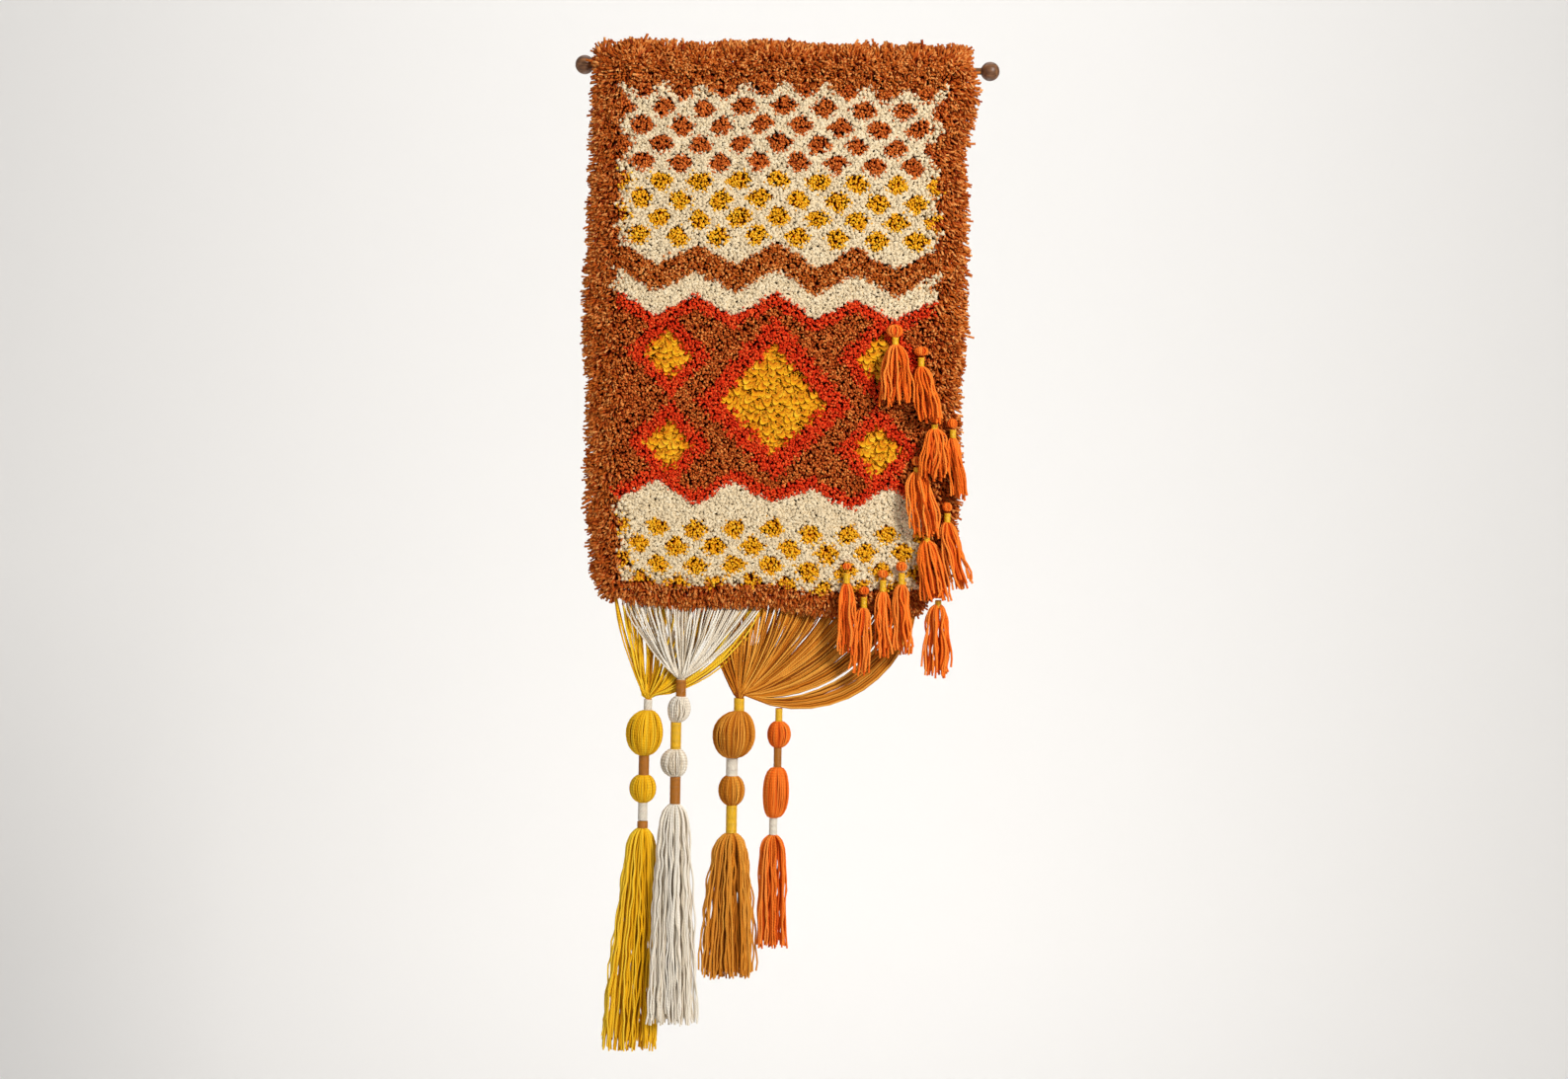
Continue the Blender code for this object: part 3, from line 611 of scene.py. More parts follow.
# How far tufts lean as they leave the canvas, and as they bend: by lumps, loosely, out at the sides, up at
# the ends, down by their weight, and up over the rod
LEAVE = {"lumps": 0.10, "side": 1.0, "end": 0.55, "droop": -0.14, "over": 1.1}
BEND = {"lumps": 0.60, "loose": 0.55, "side": 1.6, "end": 1.3, "droop": -0.6, "over": 0.9}
BORDER_WILD = 0.17
FIELD_WILD = 0.075
LUMP_SIZES = (0.045, 0.045, 0.03, 0.018)
CREST_SIZE = 0.034

# A few tufts of the border stand out
STRAY_SHARE = 0.985
STRAY_GROWTH = 0.28


def rim_pull(across, down):
    """How strongly the tufts lean out towards the rug's rim, to the right and up."""
    left = np.clip(1 - across * RUG_WIDE / RIM_REACH, 0, 1) ** 1.5
    right = np.clip(1 - (1 - across) * RUG_WIDE / RIM_REACH, 0, 1) ** 1.5
    top = np.clip(1 - down * RUG_TALL / RIM_REACH, 0, 1) ** 2
    foot = np.clip(1 - (1 - down) * RUG_TALL / (0.6 * RIM_REACH), 0, 1) ** 1.5
    return np.array([right - left, top - foot])


def knot_grid(pitch, loose, chance):
    """Places of staggered knots all over the canvas, as shares across and down it."""
    rows, columns = round(RUG_TALL / pitch[1]), round(RUG_WIDE / pitch[0])
    row, column = np.mgrid[0:rows, 0:columns]
    across = (column + 0.5 + 0.25 * (-1.0) ** row + chance.uniform(-loose, loose, row.shape)) / columns
    down = (row + 0.5 + chance.uniform(-loose, loose, row.shape)) / rows
    return np.clip(across.ravel(), 0, 1), np.clip(down.ravel(), 0, 1)


def rim_knots(chance):
    """The extra knots along each edge."""
    across, down = [], []
    for edge, (count, band) in RIM_KNOTS.items():
        run = chance.uniform(0, 1, count)
        deep = band * chance.uniform(0, 1, count)
        deep = 1 - deep if edge in ("foot", "right") else deep
        level = edge in ("top", "foot")
        across.append(run if level else deep)
        down.append(deep if level else run)
    return np.concatenate(across), np.concatenate(down)


def knot_roots(across, down):
    """Where tufts leave the canvas, and how far each has turned over the rod."""
    x, z = rug_point(across, down)
    x = x + RIM_INSET * (1 - 2 * across)
    over = np.maximum(z - OVER_ROD, 0) / -PILE_ROOT
    roots = np.stack([x, PILE_ROOT * np.cos(over), np.minimum(z, OVER_ROD) - PILE_ROOT * np.sin(over)], 1)
    return roots, over


def tuft_ways(chance, pull, lumps, over, border):
    """Which way each tuft leaves the canvas, and which way it bends."""
    pull_x, pull_z = pull
    wild = np.where(border, BORDER_WILD, FIELD_WILD)
    loose = chance.normal(0, 1, (4, len(over)))
    rise = LEAVE["droop"] + LEAVE["lumps"] * lumps[1] + wild * loose[1]
    leave = np.stack([
        LEAVE["lumps"] * lumps[0] + wild * loose[0] + LEAVE["side"] * pull_x,
        -np.cos(over),
        rise + LEAVE["end"] * pull_z + LEAVE["over"] * np.sin(over),
    ], 1)
    bend = np.stack([
        BEND["lumps"] * lumps[2] + BEND["loose"] * loose[2] + BEND["side"] * pull_x,
        0.20 * loose[3],
        BEND["droop"] + BEND["end"] * pull_z + BEND["over"] * np.sin(over) + 0.5 * loose[3],
    ], 1)
    return leave, bend


def tuft_sizes(chance, x, lumps, over, border, colour):
    """How large each tuft is: uneven at the border, with a lumpy crest over the rod and a few strays."""
    crest = 0.5 + 0.5 * np.tanh(2 * soft_waves(x, 0 * x, CREST_SIZE, chance))
    even = np.where(colour == "cream", 0.03, 0.055)
    count = len(x)
    uneven = np.where(border, chance.uniform(-0.15, 0.09, count), even * chance.uniform(-1, 1, count))
    sizes = 1.0 + 0.05 * lumps[3] + uneven + (0.10 + 0.30 * crest) * np.sin(over)
    return sizes + np.where(border & (chance.uniform(0, 1, count) > STRAY_SHARE), STRAY_GROWTH, 0.0)


def plant_pile():
    """All the pile: a piece of cut tufts for each yarn, and the loops."""
    chance = np.random.default_rng(21)
    places = zip(knot_grid(KNOT_PITCH, KNOT_LOOSE, chance), rim_knots(chance))
    across, down = (np.concatenate(pair) for pair in places)
    colour = pile_colours(across, down)
    roots, over = knot_roots(across, down)
    x, z = roots[:, 0], roots[:, 2]
    t = down * RUG_TALL
    border = (np.abs(across - 0.5) * RUG_WIDE > LOOSE_SIDE) | (t < LOOSE_TOP) | (t > LOOSE_FOOT)
    pull = rim_pull(across, down) * chance.uniform(0.30, 1.10, (2, len(x)))
    lumps = [soft_waves(x, z, size, chance) for size in LUMP_SIZES]
    leave, bend = tuft_ways(chance, pull, lumps, over, border)
    sizes = tuft_sizes(chance, x, lumps, over, border, colour)
    shades = np.clip(0.5 + 0.10 * lumps[3] + chance.normal(0, 0.24, len(x)), 0, 1)
    shapes = {kind: tuft_shape(stations) for kind, stations in TUFTS.items()}
    left, right = border & (x < 0), border & (x >= 0)
    parts = {"border_pile_left": left, "border_pile_right": right, "zigzag_pile": ~border}
    for name, (yarn, kind, slot, grow) in PILE_PIECES.items():
        own = (colour == yarn) & parts.get(name, True)
        mesh = plant(name, shapes[kind], roots[own], leave[own], bend[own], grow * sizes[own], shades[own])
        add_piece(name, mesh, PILE[yarn], slot, "rug")
    plant_loops(chance)


# Loops: their pitch across and down, how loosely they are set, their arc, their yarn's radius, its sides and
# steps, how high they stand and how far they droop
LOOP_PITCH = (0.0082, 0.0046)
LOOP_LOOSE = 0.22
LOOP_ARC = 0.0052
LOOP_YARN = 0.00155
LOOP_SIDES = 5
LOOP_STEPS = 8
LOOP_LIFT = 0.0135
LOOP_DROOP = 0.0125


def loop_shape():
    """One uncut loop of thick yarn, standing on the canvas and drooping to +Y."""
    bm = bmesh.new()
    along = bm.verts.layers.float.new("along")
    bmesh.ops.create_circle(
        bm, cap_ends=False, segments=LOOP_SIDES, radius=LOOP_YARN, matrix=Matrix.Translation((LOOP_ARC, 0, 0))
    )
    bmesh.ops.rotate(bm, cent=(0, 0, 0), matrix=Matrix.Rotation(math.radians(90), 3, "X"), verts=bm.verts)
    bmesh.ops.spin(
        bm, geom=bm.verts[:] + bm.edges[:], cent=(0, 0, 0), axis=(0, -1, 0), angle=math.pi, steps=LOOP_STEPS,
        use_merge=False
    )
    bmesh.ops.holes_fill(bm, edges=bm.edges, sides=LOOP_SIDES)
    for vert in bm.verts:
        height = max(0.0, vert.co.z) / 0.0064
        outer = (math.hypot(vert.co.x, vert.co.z) - LOOP_ARC) / LOOP_YARN
        vert.co.z = 0.5 * vert.co.z + LOOP_LIFT * min(1.0, 2.2 * height)
        vert.co.y += LOOP_DROOP * height ** 1.5
        vert.co.z -= 0.0010 * height ** 3
        # along carries painted shade: it is lower near the canvas and on the inner side of the loop's yarn,
        # and the material darkens the yarn there
        vert[along] = min(1.0, height) * (0.70 + 0.30 * outer)
    return stored_mesh(bm, "loop", triangles=True)


def plant_loops(chance):
    """Thick yellow loops in the middles of the lozenges."""
    across, down = knot_grid(LOOP_PITCH, LOOP_LOOSE, chance)
    chosen = pile_colours(across, down) == "loops"
    roots = knot_roots(across[chosen], down[chosen])[0]
    count = len(roots)
    aside, up = chance.normal(0, 0.12, count), chance.normal(-0.05, 0.12, count)
    leave = np.stack([aside, np.full(count, -1.0), up], 1)
    bend = np.stack([chance.normal(0, 0.6, count), np.zeros(count), np.full(count, -1.0)], 1)
    sizes = chance.uniform(0.85, 1.15, count)
    mesh = plant("loop_pile", loop_shape(), roots, leave, bend, sizes, chance.uniform(0.2, 0.9, count))
    add_piece("loop_pile", mesh, PILE["loops"], "yarn_yellow", "rug")


# Canvas


ECRU = (0.62, 0.52, 0.36)
BACK_PITCH = (("X", 0.0042), ("Y", 0.0036))


def canvas_finish():
    """The back of a hooked canvas: rows of yarn drawn through ecru mesh, coloured as the pile in front."""
    material, tree, shader = new_material("hooked canvas")
    place = add_node(tree, "ShaderNodeUVMap", {}, uv_map="weave")
    split = add_node(tree, "ShaderNodeSeparateXYZ", {"Vector": (place, "UV")})
    ridges = []
    for axis, pitch in BACK_PITCH:
        turns = add_math(tree, "MULTIPLY", (split, axis), 2 * math.pi / pitch)
        ridges.append(add_math(tree, "SINE", turns))
    height = add_math(tree, "MAXIMUM", ridges[1], add_math(tree, "MULTIPLY", *ridges))
    lifted = add_math(tree, "MULTIPLY_ADD", height, 0.5, 0.5)
    showing = add_ramp(tree, lifted, (0.15, (1, 1, 1)), (0.45, (0, 0, 0)))
    back = add_mix(tree, "MIX", showing, read_attribute(tree, "back_colour", "Color"), (*ECRU, 1))
    flecks = add_ramp(tree, add_noise(tree, 500, 3), (0.25, (0.72, 0.70, 0.68)), (0.75, (1, 1, 1)))
    set_cloth(tree, shader, add_mix(tree, "MULTIPLY", 1, back, flecks), 0.1, (0.7, 0.6, 0.45))
    add_relief(tree, shader, lifted, 0.8, 0.0010)
    return material


# Colours of the yarns on the canvas's back. The hem is bare.
BACK_COLOURS = {
    "amber": (0.40, 0.140, 0.014),
    "brown": (0.30, 0.095, 0.012),
    "rust": (0.50, 0.120, 0.018),
    "cream": (0.78, 0.70, 0.56),
    "ochre": (0.84, 0.46, 0.020),
    "loops": (0.84, 0.46, 0.020),
    "red": (0.70, 0.110, 0.012),
    "hem": (0.66, 0.56, 0.40),
}
CANVAS_Y = -0.0068
CANVAS_INSET = 0.007
CANVAS_THICK = 0.0012
CANVAS_COLUMNS = 60
CANVAS_TOP = 0.024
CANVAS_STEPS = 105
HEM_ARC = 10
HEM_RADIUS = 0.0068
HEM_FOOT = -0.034
HEM_FOOT_Y = -0.0054


def canvas_rows():
    """The canvas from its foot up to the rod, over it and down to the hem's seam behind.
    Each row has its share down the rug, or nothing on the hem, and its depth and height."""
    rows = [(share, CANVAS_Y, None) for share in np.linspace(1.0, CANVAS_TOP, CANVAS_STEPS)]
    for angle in np.linspace(0, math.pi, HEM_ARC + 1):
        rows.append((None, -HEM_RADIUS * math.cos(angle), HEM_RADIUS * math.sin(angle)))
    for share in (0.25, 0.5, 0.75, 1.0):
        rows.append((None, HEM_RADIUS + (HEM_FOOT_Y - HEM_RADIUS) * share, HEM_FOOT * share))
    return rows


def canvas_line(share, height, across):
    """Places across one row of the canvas, their heights and their colours."""
    if share is None:
        x = SLEEVE_LEFT + CANVAS_INSET + (SLEEVE_RIGHT - SLEEVE_LEFT - 2 * CANVAS_INSET) * across
        return x, np.full(len(across), height), ["hem"] * len(across)
    down = np.full(len(across), share)
    x, z = rug_point(across, down)
    x = x + CANVAS_INSET * (1 - 2 * across)
    z = z + CANVAS_INSET * (share > 0.999)
    return x, z, pile_colours(across, down)


def make_canvas():
    """The woven ground of the rug with its top hem folded over the rod."""
    across = np.linspace(0, 1, CANVAS_COLUMNS + 1)
    rows = canvas_rows()
    bm = bmesh.new()
    weave = bm.loops.layers.uv.new("weave")
    back = bm.verts.layers.float_color.new("back_colour")
    bmesh.ops.create_grid(bm, x_segments=CANVAS_COLUMNS, y_segments=len(rows) - 1, size=0.5)
    order = sorted(bm.verts, key=lambda vert: (round(vert.co.y, 5), vert.co.x))
    flat = {}
    run = 0.0
    before = None
    for number, (share, y, height) in enumerate(rows):
        line = order[number * len(across):(number + 1) * len(across)]
        x, z, colours = canvas_line(share, height, across)
        middle = np.array([y, z[CANVAS_COLUMNS // 2]])
        run += 0.0 if before is None else float(np.linalg.norm(middle - before))
        before = middle
        for vert, place, up, name in zip(line, x, z, colours):
            vert.co = (place, y, up)
            vert[back] = (*BACK_COLOURS[name], 1)
            flat[vert] = (place, run)
    for face in bm.faces:
        for loop in face.loops:
            loop[weave].uv = flat[loop.vert]
    canvas = add_piece("canvas_with_hem", stored_mesh(bm, "canvas"), canvas_finish(), "pile", "rug")
    wall = canvas.modifiers.new("thickness", "SOLIDIFY")
    wall.thickness = CANVAS_THICK
    wall.offset = 0


# Yarn


YARN_SIDES = 4


def yarn_section():
    """Geometry nodes that give lines the round section of yarn, and store where round it each point is."""
    group = bpy.data.node_groups.new("yarn section", "GeometryNodeTree")
    for way in ("INPUT", "OUTPUT"):
        group.interface.new_socket("Geometry", in_out=way, socket_type="NodeSocketGeometry")
    source = add_node(group, "NodeGroupInput", {})
    line = add_node(group, "GeometryNodeMeshToCurve", {"Mesh": (source, "Geometry")})
    thick = add_node(group, "GeometryNodeInputNamedAttribute", {"Name": "thick"}, data_type="FLOAT")
    circle = add_node(group, "GeometryNodeCurvePrimitiveCircle", {"Resolution": YARN_SIDES, "Radius": 1})
    place = add_node(group, "GeometryNodeInputPosition", {})
    values = {"Geometry": (circle, "Curve"), "Value": (place, "Position"), "Name": "round"}
    kind = {"data_type": "FLOAT_VECTOR", "domain": "POINT"}
    store = add_node(group, "GeometryNodeStoreNamedAttribute", values, **kind)
    values = {"Curve": (line, "Curve"), "Profile Curve": (store, "Geometry"), "Fill Caps": True}
    values["Scale"] = (thick, "Attribute")
    tube = add_node(group, "GeometryNodeCurveToMesh", values)
    add_node(group, "NodeGroupOutput", {"Geometry": (tube, "Mesh")})
    return group


YARN_SECTION = yarn_section()


def spin_yarn(name, bundles):
    """A mesh of round yarn along many lines. A bundle is its paths, a thickness and a shade for each."""
    points, edges, thick, along, shade = [], [], [], [], []
    start = 0
    for paths, radius, shades in bundles:
        count, length = paths.shape[:2]
        steps = np.linalg.norm(np.diff(paths, axis=1), axis=2)
        run = np.concatenate([np.zeros((count, 1)), np.cumsum(steps, 1)], 1)
        numbers = start + np.arange(count * length).reshape(count, length)
        edges.append(np.stack([numbers[:, :-1], numbers[:, 1:]], 2).reshape(-1))
        points.append(paths.reshape(-1))
        thick.append(np.full(count * length, radius))
        along.append(run.reshape(-1))
        shade.append(np.repeat(shades, length))
        start += count * length
    mesh = bpy.data.meshes.new(name)
    mesh.vertices.add(start)
    mesh.vertices.foreach_set("co", np.concatenate(points))
    joined = np.concatenate(edges)
    mesh.edges.add(len(joined) // 2)
    mesh.edges.foreach_set("vertices", joined)
    for label, values in (("thick", thick), ("along", along), ("shade", shade)):
        store_values(mesh, label, np.concatenate(values))
    holder = add_object(name, mesh)
    holder.modifiers.new("section", "NODES").node_group = YARN_SECTION
    solid = bpy.data.meshes.new_from_object(holder.evaluated_get(bpy.context.evaluated_depsgraph_get()))
    bpy.data.objects.remove(holder)
    bpy.data.meshes.remove(mesh)
    solid.name = name
    return solid


Bead = namedtuple("Bead", "colour x y z tall wide")


def neck(bound):
    """The radius of the yarn inside a binding."""
    return bound.wide / 2 - BINDING


def wander(chance, count, points, amount, waves):
    """Slow random waves along each of many strands, nothing at the first point."""
    run = np.linspace(0, 1, points)
    total = np.zeros((count, points))
    for number in range(1, waves + 1):
        phase = chance.uniform(0, 2 * math.pi, (count, 1))
        strength = chance.normal(0, 1, (count, 1)) / number
        total += strength * (np.sin(2 * math.pi * number * run * 0.8 + phase) - np.sin(phase))
    return amount * total


# How a skirt swells below its binding: places down it and half widths, as shares of its shoulder. Then its
# half depths at its middle and foot, how far its yarns wander, how flat it is, and the crimp of the yarns.
SHOULDER_SWELL = ((0.16, 0.50), (0.45, 0.76), (1.0, 0.95), (1.8, 1.05))
SKIRT_DEEP = (0.011, 0.009)
SKIRT_WANDER = (0.075, 0.10)
SKIRT_FLAT = 0.62
CRIMP_LENGTH = (0.036, 0.062)
CRIMP_SWAY = (0.0003, 0.0018)


def skirt_paths(chance, start, neck_radius, shoulder, skirt, count, points, flat=SKIRT_FLAT, unruly=1.0):
    """Yarn that leaves a binding, swells over the shoulder and hangs down to a ragged foot."""
    left, right, depth, foot, ragged = skirt
    drop = start[2] - foot
    run = np.linspace(0, 1, points) ** 1.7
    half = (right - left) / 2
    places = [0, *(down * shoulder for down, _ in SHOULDER_SWELL), drop / 2, drop]
    spread = [neck_radius, *(swell * shoulder for _, swell in SHOULDER_SWELL)]
    wide = np.interp(run * drop, places, [*spread, mix(spread[-1], half, 0.55), half])
    thick = [neck_radius, 0.9 * flat * spread[1], *(flat * radius for radius in spread[2:])]
    deep = np.interp(run * drop, places, [*thick, *SKIRT_DEEP])
    angle = chance.uniform(0, 2 * math.pi, (count, 1))
    out = np.sqrt(chance.uniform(0.0, 1, (count, 1)))
    side, fore = (
        out * turned + wander(chance, count, points, amount * unruly, 4) * run ** 0.7
        for turned, amount in zip((np.cos(angle), np.sin(angle)), SKIRT_WANDER)
    )
    crimp = chance.uniform(*CRIMP_LENGTH, (count, 1)) / (2 * math.pi)
    sway = np.sin(drop * run / crimp + chance.uniform(0, 2 * math.pi, (count, 1)))
    sway = sway * chance.uniform(*CRIMP_SWAY, (count, 1)) * np.minimum(1, 5 * run)
    middle_x = start[0] + ((left + right) / 2 - start[0]) * run ** 1.2
    middle_y = start[1] + (depth - start[1]) * np.minimum(1, run * 3)
    length = drop + chance.uniform(-ragged, ragged, (count, 1))
    paths = np.stack([middle_x + side * wide + sway, middle_y + fore * deep, start[2] - length * run], 2)
    # Shades: a random tone, with painted shade that darkens the strands deep inside the skirt
    shades = np.clip(0.64 * out[:, 0] ** 2.2 + chance.normal(0.22, 0.10, count), 0, 1)
    return paths, shades


# Fans: points along a yarn, how deep behind the pile it is tied, how far it laps over the hem, how soon it
# comes forward, how full its belly is, how far it strays, and the steps of its turn into the binding: a share
# of the gather and a drop
FAN_POINTS = 12
FAN_ROOT = -0.0080
FAN_LAP = 0.006
FAN_BEHIND = 0.22
FAN_BELLY = 0.82
FAN_STRAY = 0.0009
TURN_IN = ((0.85, 0.0040), (0.65, 0.0085))


def fan_slack(reach):
    """How far a fan's yarn hangs below its straight line, for its reach to the side."""
    return 0.0085 * (reach / 0.1) ** 0.9 + 0.040 * (np.maximum(reach - 0.16, 0) / 0.1) ** 1.6


def fan_tips(chance, fan, knots):
    """Where the yarns of a fan are tied to the hem. They are knotted in groups."""
    left, right, depth, _, _, crowd, _ = fan
    groups, group = knots
    count = groups * group
    place = (np.arange(groups) + 0.5 + chance.uniform(-0.2, 0.2, groups)) / groups
    place = 1 - (1 - place) ** crowd
    share = np.clip(np.repeat(place, group) + chance.normal(0, 0.30, count) / groups, 0, 1)
    x = mix(left, right, share)
    return np.stack([x, depth + chance.normal(0, 0.0022, count), hem_height(x) + FAN_LAP], 1)


def fan_gather(chance, start, reach, ring_size):
    """Where the yarns of a fan come together, in a ring over their binding."""
    count = len(reach)
    angle = math.pi / 2 * (1 - reach / np.abs(reach).max()) + chance.normal(0, 0.35, count)
    ring = ring_size * np.sqrt(chance.uniform(0.15, 1.0, count))
    return np.stack([
        start[0] + ring * np.cos(angle),
        start[1] - 0.7 * ring * np.sin(angle) * chance.choice([-1, 1], count),
        np.full(count, start[2] + 0.0035),
    ], 1)


def fan_paths(chance, start, neck_radius, fan, knots):
    """Yarn that hangs from knots along the hem and gathers in the first binding."""
    depth, slack_left, slack_right, _, gather = fan[2:]
    groups, group = knots
    tip = fan_tips(chance, fan, knots)
    count = len(tip)
    reach = tip[:, 0] - start[0]
    root = fan_gather(chance, start, reach, gather * neck_radius)
    chord = root - tip
    length = np.hypot(chord[:, 0], chord[:, 2])
    side = np.sign(reach)
    down = np.stack([-chord[:, 2] * side, np.zeros(count), chord[:, 0] * side], 1) / length[:, None]
    slack = fan_slack(np.abs(reach)) * np.where(reach < 0, slack_left, slack_right)
    loose = np.repeat(chance.normal(0, 0.06, groups), group) + chance.normal(0, 0.05, count)
    slack = slack * (1 + np.clip(loose, -0.14, 0.05))
    run = np.linspace(0, 1, FAN_POINTS)[None, :]
    hang = (4 * run * (1 - run)) ** FAN_BELLY * slack[:, None]
    paths = tip[:, None, :] + chord[:, None, :] * run[:, :, None] + down[:, None, :] * hang[:, :, None]
    bulge = np.sin(math.pi * run)
    paths[:, :, 0] += wander(chance, count, FAN_POINTS, FAN_STRAY, 3) * bulge
    fore = chance.normal(0, 0.003, count)
    behind = np.clip(1 - run / FAN_BEHIND, 0, 1) * (FAN_ROOT - depth)
    paths[:, :, 1] += (fore[:, None] - 0.002) * bulge + behind
    paths[:, :, 2] += wander(chance, count, FAN_POINTS, FAN_STRAY, 3) * bulge
    turn_in = []
    for share, drop in TURN_IN:
        inner = root.copy()
        inner[:, :2] = np.array(start[:2]) + share / gather * (root[:, :2] - start[:2])
        inner[:, 2] -= drop
        turn_in.append(inner[:, None, :])
    # Shades: a random tone, with painted shade that darkens the yarns further back
    shades = np.clip(0.47 - 75 * fore + chance.normal(0, 0.24, count), 0, 1)
    return np.concatenate([paths, *turn_in], 1), shades


# How full a ball is towards its poles: 1 is an ellipse, and less is fuller
LONG_BALL_POWER = 0.62
ROUND_BALL_POWER = 0.90


def ball_paths(chance, ball, above, below, count, points, wobble, thick, flat=1.0):
    """Yarn laid from pole to pole over a ball."""
    z, tall, wide = ball[3:]
    half_wide, half_tall = wide / 2 - thick, tall / 2 + 0.0006
    power = LONG_BALL_POWER if tall > 1.5 * wide else ROUND_BALL_POWER
    first, other = (math.asin(min(0.9, neck(end) / half_wide) ** (1 / power)) for end in (above, below))
    last = math.pi - other
    polar = np.linspace(first, last, points)[None, :]
    turn = 2 * math.pi * (np.arange(count) + chance.uniform(-0.25, 0.25, count)) / count
    turn = turn[:, None] + wobble * wander(chance, count, points, 1.0, 3)
    swell = np.sin(polar) ** power * (1 + chance.uniform(-0.034, 0.010, (count, 1)))
    upper = polar < math.pi / 2
    pull = (1 - np.sin(polar)) / (1 - np.where(upper, math.sin(first), math.sin(last)))
    x, y = (mix(ball[axis], np.where(upper, above[axis], below[axis]), pull) for axis in (1, 2))
    paths = np.empty((count, points, 3))
    paths[:, :, 0] = x + half_wide * swell * np.cos(turn)
    paths[:, :, 1] = y + flat * half_wide * swell * np.sin(turn)
    paths[:, :, 2] = z + half_tall * np.cos(polar) / np.where(upper, math.cos(first), -math.cos(last))
    return paths


WRAP_POINTS = 14


def wrap_path(bound, yarn):
    """One yarn wound tightly round a neck from top to foot."""
    x, y, z, tall, wide = bound[1:]
    turns = max(3, round((tall - 0.0006) / (2 * yarn * 0.93)))
    run = np.linspace(0, 1, turns * WRAP_POINTS + 1)
    radius = wide / 2 - 0.4 * yarn
    height = z + (tall / 2 - yarn - 0.0003) * (1 - 2 * run)
    angle = 2 * math.pi * turns * run
    return np.stack([x + radius * np.cos(angle), y + radius * np.sin(angle), height], 1)[None]


def add_core(mesh, balls, bounds, flat=1.0):
    """Fills the inside of a bundle's balls and necks, so that no light comes through between the yarns. The
    core has no shade value, so it takes the yarn's darkest colour: painted shade inside the bundle.
    """
    bm = bmesh.new()
    bm.from_mesh(mesh)
    for ball in balls:
        radius = ball.wide / 2 - 0.0024
        size = Matrix.Diagonal((radius, flat * radius, ball.tall / 2 - 0.0015, 1))
        place = Matrix.Translation(ball[1:4])
        bmesh.ops.create_uvsphere(bm, u_segments=20, v_segments=12, radius=1, matrix=place @ size)
    for bound in bounds:
        radius = neck(bound) + 0.0004
        bmesh.ops.create_cone(
            bm, cap_ends=True, segments=14, radius1=radius, radius2=radius, depth=bound.tall - 0.002,
            matrix=Matrix.Translation(bound[1:4]),
        )
    bm.to_mesh(mesh)
    bm.free()


def make_wrap(name, bound, node):
    """The fine yarn wound round a neck."""
    mesh = spin_yarn(name, [(wrap_path(bound, WRAP_YARN), WRAP_YARN, np.array([0.5]))])
    add_piece(name, mesh, WRAP[bound.colour], "yarn_" + bound.colour, node)


# Balls of long tassels: points along a yarn, how closely the yarns crowd, and how far they wobble
BALL_POINTS = 12
BALL_CROWD = 1.12
WHITE_WOBBLE = 0.045
BALL_WOBBLE = 0.022


def make_yarn_piece(node, part, colour, bundles, *core):
    """One part of a tassel, spun and put in the scene. Its core is balls, necks and how flat they are."""
    name = f"{node}_{part}"
    mesh = spin_yarn(name, bundles)
    if core:
        add_core(mesh, *core)
    add_piece(name, mesh, SPUN[colour], "yarn_" + colour, node)


def make_long_tassel(colour, facts, seed):
    """A long tassel: its balls, its skirt, its fan, and the wrapping of each neck."""
    chance = np.random.default_rng(seed)
    node = colour + "_tassel"
    beads = [Bead(*row) for row in facts["beads"]]
    bounds = [bead for bead in beads if bead.colour != colour]
    balls = [bead for bead in beads if bead.colour == colour]
    wobble = WHITE_WOBBLE if colour == "white" else BALL_WOBBLE
    bundles = []
    for above, ball, below in zip(beads, beads[1:], beads[2:]):
        if ball in balls:
            count = int(math.pi * ball.wide / (2 * BALL_YARN) * BALL_CROWD)
            paths = ball_paths(chance, ball, above, below, count, BALL_POINTS, wobble, BALL_YARN)
            bundles.append((paths, BALL_YARN, chance.uniform(0.18, 0.92, count)))
    make_yarn_piece(node, "balls", colour, bundles, balls, bounds)
    first, last = bounds[0], bounds[-1]
    start = (last.x, last.y, last.z - last.tall / 2 + 0.0005)
    points = 14 + round((start[2] - facts["skirt"][3]) / 0.014)
    paths, shades = skirt_paths(
        chance, start, neck(last), facts["shoulder"], facts["skirt"], facts["strands"], points
    )
    make_yarn_piece(node, "skirt", colour, [(paths, YARN, shades)])
    if facts["fan"]:
        start = (first.x, first.y, first.z + first.tall / 2 + 0.001)
        paths, shades = fan_paths(chance, start, neck(first), facts["fan"], facts["knots"])
        make_yarn_piece(node, "fan", colour, [(paths, FAN_YARN, shades)])
    for number, bound in enumerate(bounds, 1):
        make_wrap(f"{node}_wrap_{number}", bound, f"{node}_binding_{number}")


# Small tassels: how flat the head and the skirt are, how loose and ragged the skirt is, how far it leans out,
# and the widths of the neck and of the head's crown
HEAD_FLAT = 0.6
SMALL_SKIRT_FLAT = 0.42
SMALL_UNRULY = 2.0
SMALL_RAGGED = 0.009
SMALL_LEAN = 0.013
SMALL_BOUND = 0.0088
CROWN_WIDE = 0.0050


